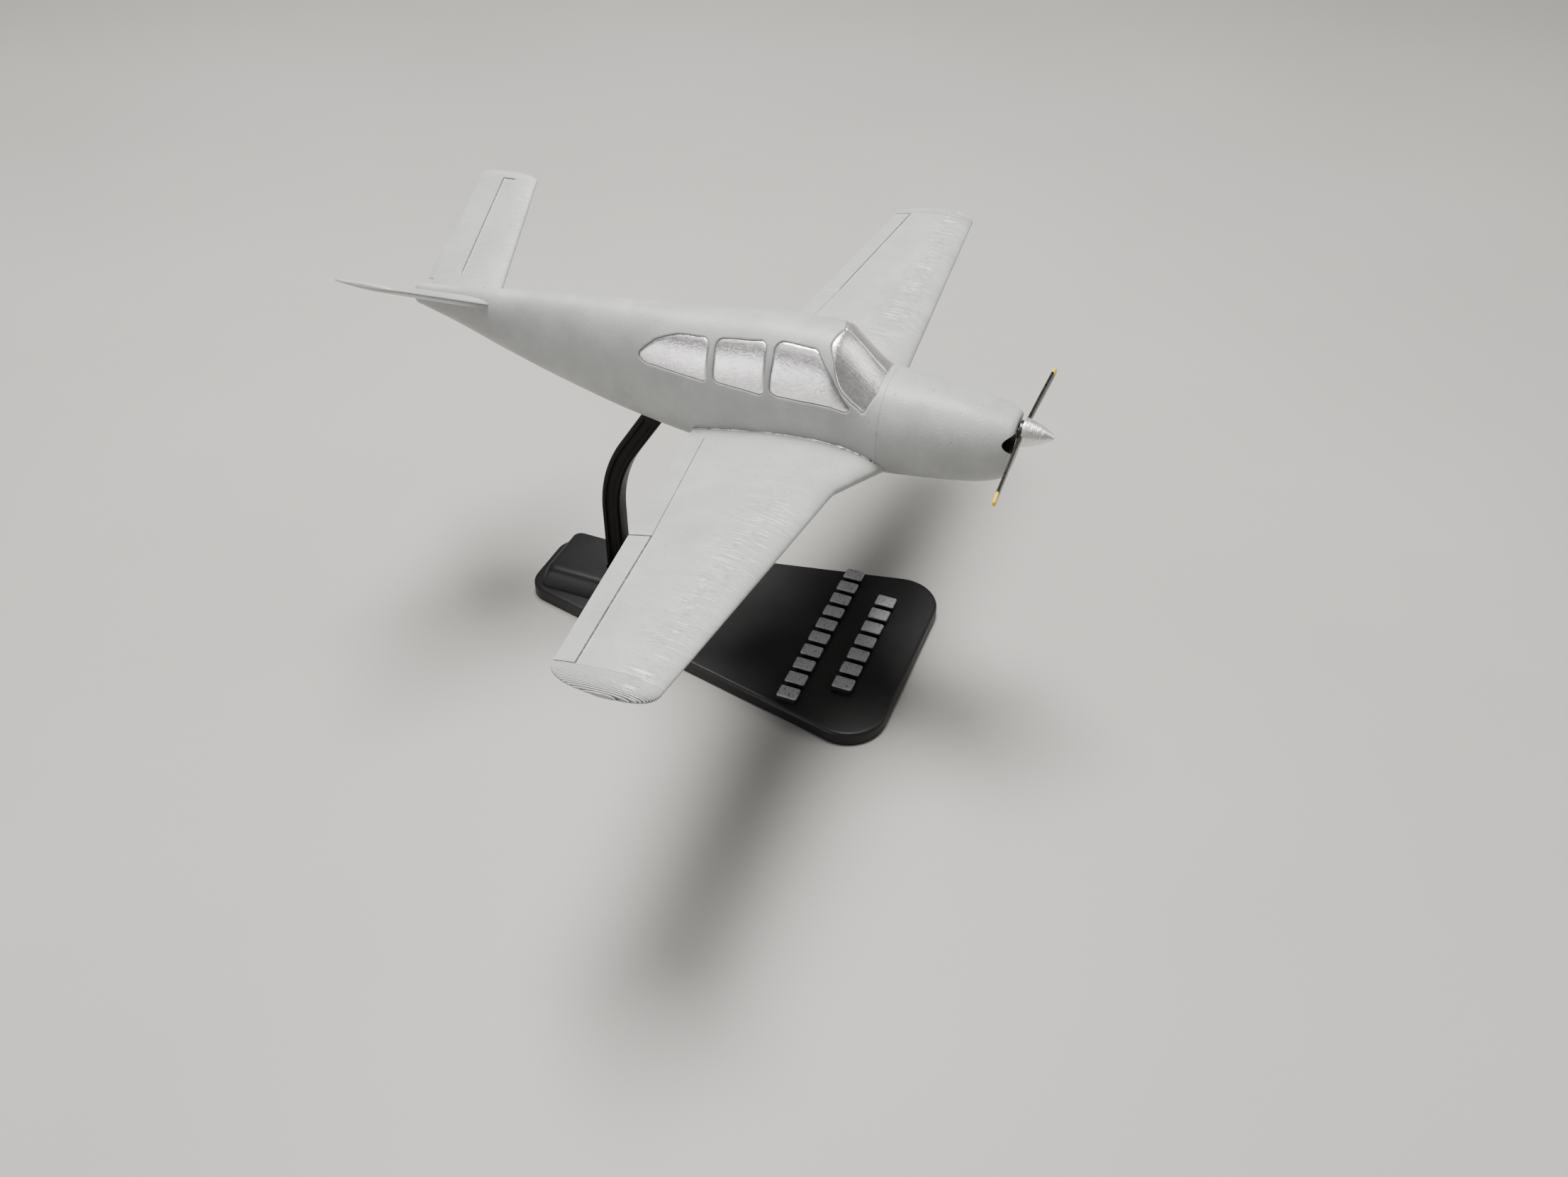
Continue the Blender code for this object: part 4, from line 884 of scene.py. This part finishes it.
def glue_look():
    """Dried glue: clear, slightly milky and glossy, with painted shade where gaps in the joint open."""
    look = Look("dried_glue", (0.55, 0.57, 0.58), 0.14, specular=0.6, coat=0.6)
    grain = look.grain()
    cloud = look.noise(grain, 0.7, detail=3.0)
    colour = look.mix(look.range(cloud, 0.35, 0.65), (0.36, 0.38, 0.39), (0.66, 0.67, 0.67))
    # Painted shade: near-black patches where gaps in the joint open under the glue.
    gap_shade = look.range(look.noise(grain, 0.42, detail=4.0, roughness=0.7), 0.54, 0.60)
    colour = look.cover(colour, gap_shade, 0.85, (0.05, 0.05, 0.05))
    return look.finish(colour, look.noise(grain, 1.8), 0.00012,
                       roughness=look.range(cloud, 0.3, 0.7, 0.10, 0.26))


def shadow_look():
    """Near-black for gaps and inlets: partly the unpainted black plastic, partly painted shade in these
    recesses.
    """
    look = Look("black_plastic_and_painted_shade", (0.012, 0.012, 0.012), 0.6)
    rough = look.noise(look.grain(), 2.0)
    colour = look.mix(look.range(rough, 0.3, 0.7), (0.008, 0.008, 0.008), (0.022, 0.021, 0.021))
    return look.finish(colour, rough, 0.00005, roughness=look.range(rough, 0.3, 0.7, 0.5, 0.7))


def give(item, material):
    item.data.materials.clear()
    item.data.materials.append(material)


# ---- The aircraft's pieces ----
PANE_RECESS = 0.15
PANE_BACK = 0.60
RIM = ((0.78, -0.7), (0.46, -0.02), (0.30, 0.06), (0.20, 0.20), (0.17, 0.9))
PANE = ((-0.55, PANE_RECESS - 0.03), (-0.25, PANE_RECESS), (-0.02, PANE_RECESS + 0.06),
        (0.10, PANE_RECESS + 0.16), (0.13, PANE_RECESS + 0.28), (0.13, PANE_BACK))
LOOKS = {
    "body": paint_look("grey_paint_rings", 0, "", 0.4, 0.9, 0.10),
    "wing": paint_look("grey_paint_wing", 1, "wing", 0.8, 1.3, 0.26),
    "fin": paint_look("grey_paint_fin", 1, "fin", 1.0, 1.3, 0.18),
    "glass": silver_look("silver_windows", (0.8, 2.6, 0.9), (0.70, 0.69, 0.68), 0.15),
    "spinner": silver_look("silver_spinner", (6.0, 0.7, 0.7), (0.52, 0.51, 0.50), 0.28),
    "stand": stand_look("stand_black_print", (0.0085, 0.0080, 0.0085), (0.015, 0.014, 0.015), 0.36),
    # The post's black print is a darker copy of the stand's: painted shade, as the post stands in the
    # shade under the wing.
    "post": stand_look("post_black_print_painted_shade", (0.0035, 0.0033, 0.0033), (0.006, 0.0055, 0.0055), 0.13),
    "marker": marker_look(),
    "propeller": propeller_look(),
    "steel": metal_look("steel_pins", (0.56, 0.56, 0.57), (0.42, 0.41, 0.40), 0.32),
    "brass": metal_look("brass_sleeve", (0.76, 0.58, 0.28), (0.52, 0.38, 0.18), 0.34),
    "glue": glue_look(),
    "dark": shadow_look(),
}


def add_piece(item, body, node, material=None):
    """Hand a finished piece to the frame: its body, the CAD node it stands for and look."""
    if material:
        give(item, material)
    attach(item, body)
    if node:
        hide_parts(node)
    return item


def add_fuselage():
    front = [COWL_SEAM_X - 0.02, COWL_SEAM_X - 0.10, 4.8, 4.4, 4.05]
    rear = [*np.arange(3.75, -10.0, -0.33), *np.arange(-10.4, TAIL_ROUND_X, -0.85), TAIL_ROUND_X]
    rings = [shrunk_ring(skin_ring(front[0]), front[0], SEAM_MIDDLE_Z, SEAM_SHRINK)]
    rings += [skin_ring(x) for x in front[1:] + rear]
    body = build_mesh("fuselage_skin", loft(rings + tail_end_rings()), PLANE)
    kinds = [("windshield", skin_on_nose, WINDSHIELD)]
    kinds += [(kind, skin_on_side, corners) for kind, corners in SIDE_WINDOWS.items()]
    tools = []
    panes = []
    for side, label in ((1, "left"), (-1, "right")):
        for kind, surface, corners in kinds:
            seed = 3.7 * (len(panes) + 1)
            outline = dense_outline(rounded_outline(corners, 10), 0.35, 0.13, seed)
            tools.append(build_mesh("rim", skin_patch(surface, outline, side, RIM, 1.2), PLANE))
            node = f"{label}_{kind}"
            pane = build_mesh(node + "_pane", skin_patch(surface, outline, side, PANE, 0.9), PLANE)
            panes.append((pane, node))
    carve(body, "DIFFERENCE", tools + [build_mesh("socket", peg_socket(), WORLD)], PLANE)
    add_piece(body, "aircraft", "fuselage", LOOKS["body"])
    for pane, node in panes:
        add_piece(pane, "aircraft", node, LOOKS["glass"])


INLET_Y = 5.2
INLET_Z = 8.5
INLET_RADII = (2.3, 1.9)
# The inlet's rings from its floor out to its flared lip: (X behind the cowl's face, growth).
INLET_RINGS = ((-2.4, -0.6), (-2.1, -0.2), (-0.8, 0.0), (-0.3, 0.12), (0.0, 0.35), (0.6, 0.9))
COWL_ROUND_X = 33.4
COWL_FACE_Z = 6.6
SLEEVE_HOLE_RADIUS = 1.75


def inlet(side):
    wide, high = INLET_RADII
    rings = [oval(COWL_FACE_X + x, side * INLET_Y, INLET_Z, wide + grow, high + grow, 48)
             for x, grow in INLET_RINGS]
    return build_mesh("inlet", loft(rings), PLANE)


def add_cowl():
    stations = [COWL_SEAM_X + 0.08, COWL_SEAM_X + 0.3, *np.arange(5.9, 32.0, 0.7)]
    stations += list(np.linspace(32.2, COWL_ROUND_X, 8))
    rings = [shrunk_ring(skin_ring(COWL_SEAM_X), COWL_SEAM_X, SEAM_MIDDLE_Z, SEAM_SHRINK)]
    rings += [skin_ring(x) for x in stations]
    for turn in np.linspace(0.15, math.pi / 2, 10):
        x = COWL_ROUND_X + (COWL_FACE_X - COWL_ROUND_X) * math.sin(turn)
        rings.append(shrunk_ring(skin_ring(x), x, COWL_FACE_Z, 1 - 0.15 * (1 - math.cos(turn))))
    cowl = build_mesh("nose_cowl_skin", loft(rings), PLANE)
    give(cowl, LOOKS["body"])
    hole = turned("hole", [(COWL_FACE_X + x, SLEEVE_HOLE_RADIUS) for x in (-9, 1)], 48)
    tools = [hole, inlet(1), inlet(-1)]
    # The inlets and the shaft hole take the near-black look: bare black plastic with painted shade in
    # these recesses.
    for tool in tools:
        give(tool, LOOKS["dark"])
    carve(cowl, "DIFFERENCE", tools, PLANE)
    add_piece(cowl, "aircraft", "nose_cowl")


def seam_line(side):
    """Where the wing's upper skin meets the side of the body, from the nose of the wing to its tail."""
    line = []
    for x in np.arange(8.2, -40.5, -0.4):
        y = 11.0
        for _ in range(12):
            nose, tail, thickness = plan_edges(WING, y)
            share = min(max((nose - x) / (nose - tail), 0.0), 1.0)
            z = wing_rise(y) + foil_height(share, thickness, nose - tail, WING_CAMBER, 1)
            half_width, widest, _, drop = section_size(x)
            down = min(max((widest - z) / drop, 0.0), 0.995)
            y = half_width * (1 - down**SECTION_POWER) ** (1 / SECTION_POWER)
        line.append(Vector((x, side * y, z)))
    return line


def add_seam(label, side):
    """The bead of dried glue along the top of the wing root."""
    line = seam_line(side)
    rings = []
    for i, middle in enumerate(line):
        ahead = (line[min(i + 1, len(line) - 1)] - line[max(i - 1, 0)]).normalized()
        out = ahead.cross(Vector((0, 0, 1))).normalized()
        up = out.cross(ahead).normalized()
        swell = noise.noise(Vector((middle.x * 0.35, side * 4.0, 1.5)))
        radius = max(0.26 + 0.24 * swell + 0.10 * noise.noise(middle * 1.3), 0.06)
        if i in (0, len(line) - 1):
            radius = 0.03
        place = middle + Vector((0, side * 0.04, -0.03))
        rings.append([place + out * (radius * 1.25 * math.cos(a)) + up * (radius * math.sin(a))
                      for a in circle(10)])
    bead = build_mesh(label + "_wing_glue", loft(rings), PLANE)
    add_piece(bead, "aircraft", None, LOOKS["glue"])


HUB_REAR_X = 35.0
SPINNER_BASE_X = 35.75
SPINNER_TIP_X = 42.7
SPINNER_RADIUS = 3.5
SHAFT_HOLE_RADIUS = 0.95
SPINNER_LAYERS = 16
# One printed layer of the spinner: (height up the layer, how far it narrows to the next layer).
SPINNER_LAYER_ROWS = ((0.12, 0.1), (0.55, 0.28), (0.85, 0.58))


def spinner_radius(x):
    share = (x - HUB_REAR_X) / (SPINNER_TIP_X - HUB_REAR_X)
    return SPINNER_RADIUS * (1 - min(share, 1.0) ** 1.35) ** 0.7


def add_spinner():
    """The cone in its printed layers, with a slightly uneven edge to each layer."""
    height = (SPINNER_TIP_X - SPINNER_BASE_X) / SPINNER_LAYERS
    profile = [(SPINNER_BASE_X, 2.8), (SPINNER_BASE_X + 0.02, 3.15)]
    for k in range(SPINNER_LAYERS):
        x = SPINNER_BASE_X + k * height
        here, after = spinner_radius(x), spinner_radius(x + height)
        profile += [(x + height * up, here * (1 - share) + after * share)
                    for up, share in SPINNER_LAYER_ROWS]
    profile = [(x, max(r, 0.52)) for x, r in profile[:-1]]
    profile += [(SPINNER_TIP_X - 0.12, 0.42), (SPINNER_TIP_X, 0.15)]
    rings = []
    for x, radius in profile:
        ring = []
        for a in circle(80):
            c, s = math.cos(a), math.sin(a)
            uneven = noise.noise(Vector((x * 2.2, 1.1 * c * radius, 1.1 * s * radius)))
            r = radius + 0.07 * uneven * min(radius, 1.0)
            ring.append(Vector((x, r * c, SHAFT_Z + r * s)))
        rings.append(ring)
    item = build_mesh("spinner_cone", loft(rings), PLANE)
    bore = turned("bore", [(SPINNER_BASE_X + x, SHAFT_HOLE_RADIUS) for x in (-1, 1.2)], 32)
    carve(item, "DIFFERENCE", [bore], PLANE)
    add_piece(item, "propeller", "spinner", LOOKS["spinner"])


PROP_X = 35.5
HUB_RADIUS = 2.6
BLADE_CHORDS = ((0.0, 2.1), (6.0, 2.1), (17.0, 2.6), (26.5, 2.5), (27.7, 2.1), (28.4, 1.1))
BLADE_THICKNESS = 0.95
BLADE_FORWARD_REACH = 0.9
BLADE_PITCH = math.radians(4)


def add_propeller():
    reach = [6.0, 9, 12, 15, 18, 21, 24, 26, 27, 27.5, 27.8, 28.05, 28.25, 28.4]
    rings = []
    for y in [-y for y in reversed(reach)] + [-2.5, 2.5] + reach:
        chord = smooth_value(BLADE_CHORDS, abs(y))
        thickness = BLADE_THICKNESS * min(1.0, chord / 1.5)
        pitch = math.copysign(BLADE_PITCH, y)
        ahead = PROP_X + BLADE_FORWARD_REACH * abs(y) / BLADE_CHORDS[-1][0]
        ring = []
        for a in circle(24):
            across = thickness / 2 * math.cos(a)
            along = chord / 2 * math.sin(a)
            ring.append(Vector((ahead + across * math.cos(pitch) - along * math.sin(pitch), y,
                                SHAFT_Z + across * math.sin(pitch) + along * math.cos(pitch))))
        rings.append(ring)
    item = build_mesh("propeller_blades", loft(rings), PLANE)
    hub = turned("hub", [(x, HUB_RADIUS) for x in (HUB_REAR_X, SPINNER_BASE_X - 0.04)], 48)
    carve(item, "UNION", [hub], PLANE @ Matrix.Translation((0, 0, SHAFT_Z)))
    add_piece(item, "propeller", "propeller", LOOKS["propeller"])


# ---- The stand's pieces ----
PLATE_THICKNESS = 4.0
PLATE_CORNERS = ((-53.8, -11.4, 6.8), (56.0, -34.5, 10.5), (56.0, 34.5, 10.5), (-53.8, 11.4, 6.8))
PLATE_PROFILE = ((0.45, 0.0), (0.12, 0.12), (0.0, 0.4), (0.0, 3.05), (0.05, 3.35), (0.2, 3.62),
                 (0.42, 3.84), (0.7, 3.96), (1.0, PLATE_THICKNESS))
POST_X = -30.2
POST_SIDE = 5.2
POST_FOOT_Z = 5.6
POST_BEND_Z = 30.0
POST_BEND_RADIUS = 40.0
POST_LEAN = math.radians(33)
# The side channel's section: (along the post's side, out from the channel's floor).
POST_CHANNEL = ((-0.7, 0), (0.7, 0), (1.1, 0.28), (1.24, 0.6), (1.5, 1.6),
                (-1.5, 1.6), (-1.24, 0.6), (-1.1, 0.28))
POST_CHANNEL_DEPTH = 0.6
POST_TOP = 41.5
PEG_SIDE = 3.4
PEG_REACH = 47.0
BLOCK_TOP_Z = 9.9
BLOCK_ENDS = (-50.3, -12.0)
BLOCK_HALF = 10.7
BLOCK_TOP_HALF = 8.0
BLOCK_SHARES = (0.0, 0.1, 0.22, 0.34, 0.46, 0.56, 0.65, 0.73, 0.8, 0.86, 0.91, 0.95, 0.98, 1.0)


def post_axes(distance):
    """A point on the post's centre line, and the direction square to it, forwards."""
    angle = min(max(distance / POST_BEND_RADIUS, 0.0), POST_LEAN)
    up = Vector((math.sin(angle), 0, math.cos(angle)))
    bend = Vector((1 - up.z, 0, up.x)) * POST_BEND_RADIUS
    middle = Vector((POST_X, 0, POST_BEND_Z)) + bend + up * (distance - angle * POST_BEND_RADIUS)
    return middle, Vector((up.z, 0, -up.x))


def square_ring(distance, side, edge, steps):
    """A square section with rounded edges, square to the post's centre line."""
    middle, ahead = post_axes(distance)
    half = side / 2
    corners = [(half, -half, edge), (half, half, edge), (-half, half, edge), (-half, -half, edge)]
    return [middle + ahead * p.x + Vector((0, p.y, 0)) for p in rounded_outline(corners, steps)]


def peg_socket():
    side = PEG_SIDE + 2 * GAP
    return loft([square_ring(d, side, 0.4, 3) for d in (POST_TOP - 12, PEG_REACH + GAP)])


def post_stations(low, high):
    return np.linspace(low, high, round((high - low) / 0.8) + 1)


def add_post():
    foot = POST_FOOT_Z - POST_BEND_Z
    rings = [square_ring(d, POST_SIDE, 0.85, 5) for d in post_stations(foot, POST_TOP)]
    post = build_mesh("stand_post_skin", loft(rings), WORLD)
    tools = []
    for side in (1, -1):
        rings = []
        for d in post_stations(BLOCK_TOP_Z + 2 - POST_BEND_Z, POST_TOP - 6):
            middle, ahead = post_axes(d)
            middle.y = side * (POST_SIDE / 2 - POST_CHANNEL_DEPTH)
            rings.append([middle + ahead * across + LEFT * (side * out)
                          for across, out in POST_CHANNEL])
        tools.append(build_mesh("channel", loft(rings), WORLD))
    belly = [skin_ring(x, GAP) for x in np.arange(30, -110, -2.0)]
    tools.append(build_mesh("belly", loft(belly), PLANE))
    carve(post, "DIFFERENCE", tools, WORLD)
    rings = [square_ring(d, PEG_SIDE, 0.4, 3) for d in (POST_TOP - 8, PEG_REACH - 0.25)]
    rings.append(square_ring(PEG_REACH, PEG_SIDE - 0.5, 0.3, 3))
    carve(post, "UNION", [build_mesh("peg", loft(rings), WORLD)], WORLD)
    add_piece(post, "stand", "stand_post", LOOKS["post"])


def add_plate():
    outline = dense_outline(rounded_outline(PLATE_CORNERS, 24), 4.0, 0.0, 0.0)
    plate = build_mesh("base_plate_skin", slab(outline, PLATE_PROFILE), WORLD)
    add_piece(plate, "stand", "base_plate", LOOKS["stand"])


def block_ring(inset, z):
    rear, front = BLOCK_ENDS
    half = BLOCK_HALF - inset
    corners = rectangle(rear + inset, front - inset, -half, half, 2.2)
    return [Vector((p.x, p.y, z)) for p in rounded_outline(corners, 10)]


def add_block():
    height = BLOCK_TOP_Z - PLATE_THICKNESS
    rings = [block_ring(0.0, PLATE_THICKNESS - 0.2)]
    for share in BLOCK_SHARES:
        inset = (BLOCK_HALF - BLOCK_TOP_HALF) * (0.45 * share + 0.55 * (1 - math.sqrt(1 - share**3)))
        rings.append(block_ring(inset, PLATE_THICKNESS + height * share))
    block = build_mesh("post_foot_block_skin", loft(rings), WORLD)
    rings = [square_ring(z - POST_BEND_Z, POST_SIDE + 2 * GAP, 0.9, 5)
             for z in (POST_FOOT_Z - GAP, BLOCK_TOP_Z + 2)]
    carve(block, "DIFFERENCE", [build_mesh("hole", loft(rings), WORLD)], WORLD)
    add_piece(block, "stand", "post_foot_block", LOOKS["stand"])


MARKER_BARS = {
    # name: (rear edge in X, right end in Y, left end in Y, number of bars)
    "marker_strip_rear": (27.7, -27.5, 28.5, 10),
    "marker_strip_front": (39.6, -19.0, 21.2, 7),
}
MARKER_DEPTH = 5.8
MARKER_GAP = 0.28  # as a share of the distance from one bar to the next
MARKER_PROFILE = ((0.0, 3.8), (0.0, 5.5), (0.06, 5.72), (0.18, 5.86), (0.36, 5.9))


def add_marker(name, rear, right, left, count):
    pitch = (left - right) / count
    bm = bmesh.new()
    for k in range(count):
        start = right + pitch * (k + MARKER_GAP / 2)
        end = start + pitch * (1 - MARKER_GAP)
        corners = rectangle(rear + 0.2, rear + MARKER_DEPTH - 0.2, start, end, 0.5)
        outline = dense_outline(rounded_outline(corners, 5), 0.6, 0.05, k * 2.1)
        slab(outline, MARKER_PROFILE, bm)
    add_piece(build_mesh(name + "_bars", bm, WORLD), "stand", name, LOOKS["marker"])


# ---- Build everything ----
add_fuselage()
add_cowl()
for wing_side, wing_label in ((1, "left"), (-1, "right")):
    add_wing(wing_label + "_wing", wing_side)
    add_fin(wing_label + "_tail_fin", wing_side)
    add_seam(wing_label, wing_side)
add_spinner()
add_propeller()
add_plate()
add_block()
add_post()
for marker_name, marker_place in MARKER_BARS.items():
    add_marker(marker_name, *marker_place)
for node_name, node in frame["nodes"].items():
    if node_name.endswith("_pin") or node_name == "propeller_shaft":
        give(node, LOOKS["steel"])
    elif node_name == "shaft_sleeve":
        give(node, LOOKS["brass"])

# ---- Camera, floor and light ----
CAMERA_PLACE = Vector((114.62, -247.46, 248.07)) * MM
FLOOR_HALF = 3.0
# Soft lights: place, what they face, size, power, colour.
LIGHTS = {
    "key": ((-0.12, 0.12, 0.95), (0.0, 0.0, 0.05), (0.42, 0.42), 23.5, (1.0, 0.985, 0.945)),
    "front": ((-0.66, -1.23, 0.15), (0.0, 0.0, 0.09), (0.50, 0.26), 3.1, (1.0, 0.96, 1.0)),
    "strip": ((-0.40, -0.78, 1.12), (0.0, 0.0, 0.09), (1.2, 0.36), 3.0, (1.0, 0.99, 1.0)),
    "nose": ((0.92, 0.42, 0.74), (0.03, 0.0, 0.09), (0.5, 0.5), 2.6, (1.0, 0.99, 0.97)),
}
CAMERA_AZIMUTH = math.radians(-21.069245)
CAMERA_ELEVATION = math.radians(-41.026916)
CAMERA_ROLL = math.radians(1.064681)
SENSOR_WIDTH = 36.0
FOCAL_LENGTH = SENSOR_WIDTH * 1862.6206 / 2212


def link(name, data):
    item = bpy.data.objects.new(name, data)
    bpy.context.scene.collection.objects.link(item)
    return item


def add_camera():
    data = bpy.data.cameras.new("camera")
    data.sensor_fit = "HORIZONTAL"
    data.sensor_width = SENSOR_WIDTH
    data.lens = FOCAL_LENGTH
    data.clip_start = 0.01
    camera = link("camera", data)
    camera.matrix_world = (
        Matrix.Translation(CAMERA_PLACE) @ Matrix.Rotation(-CAMERA_AZIMUTH, 4, "Z")
        @ Matrix.Rotation(math.pi / 2 + CAMERA_ELEVATION, 4, "X") @ Matrix.Rotation(CAMERA_ROLL, 4, "Z")
    )
    bpy.context.scene.camera = camera


def add_floor():
    mesh = bpy.data.meshes.new("floor")
    corners = [(x * FLOOR_HALF, y * FLOOR_HALF, 0) for x, y in ((-1, -1), (1, -1), (1, 1), (-1, 1))]
    mesh.from_pydata(corners, [], [(0, 1, 2, 3)])
    look = Look("pale_floor", (0.74, 0.72, 0.69), 0.6)
    cloud = look.noise(look.place(), 6.0, detail=3.0)
    colour = look.mix(look.range(cloud, 0.3, 0.7), (0.37, 0.36, 0.345), (0.40, 0.39, 0.375))
    mesh.materials.append(look.finish(colour))
    link("floor", mesh)


def add_light(name, place, target, size, power, colour):
    data = bpy.data.lights.new(name, "AREA")
    data.shape = "RECTANGLE"
    data.size, data.size_y = size
    data.energy = power
    data.color = colour
    light = link(name, data)
    light.location = place
    aim = (Vector(target) - Vector(place)).normalized()
    light.rotation_euler = aim.to_track_quat("-Z", "Y").to_euler()


def add_world():
    world = bpy.data.worlds.new("studio")
    world.use_nodes = True
    background = world.node_tree.nodes["Background"]
    background.inputs["Color"].default_value = (0.86, 0.87, 0.92, 1)
    background.inputs["Strength"].default_value = 0.10
    bpy.context.scene.world = world


add_camera()
add_floor()
add_world()
for light_name, light in LIGHTS.items():
    add_light(light_name, *light)
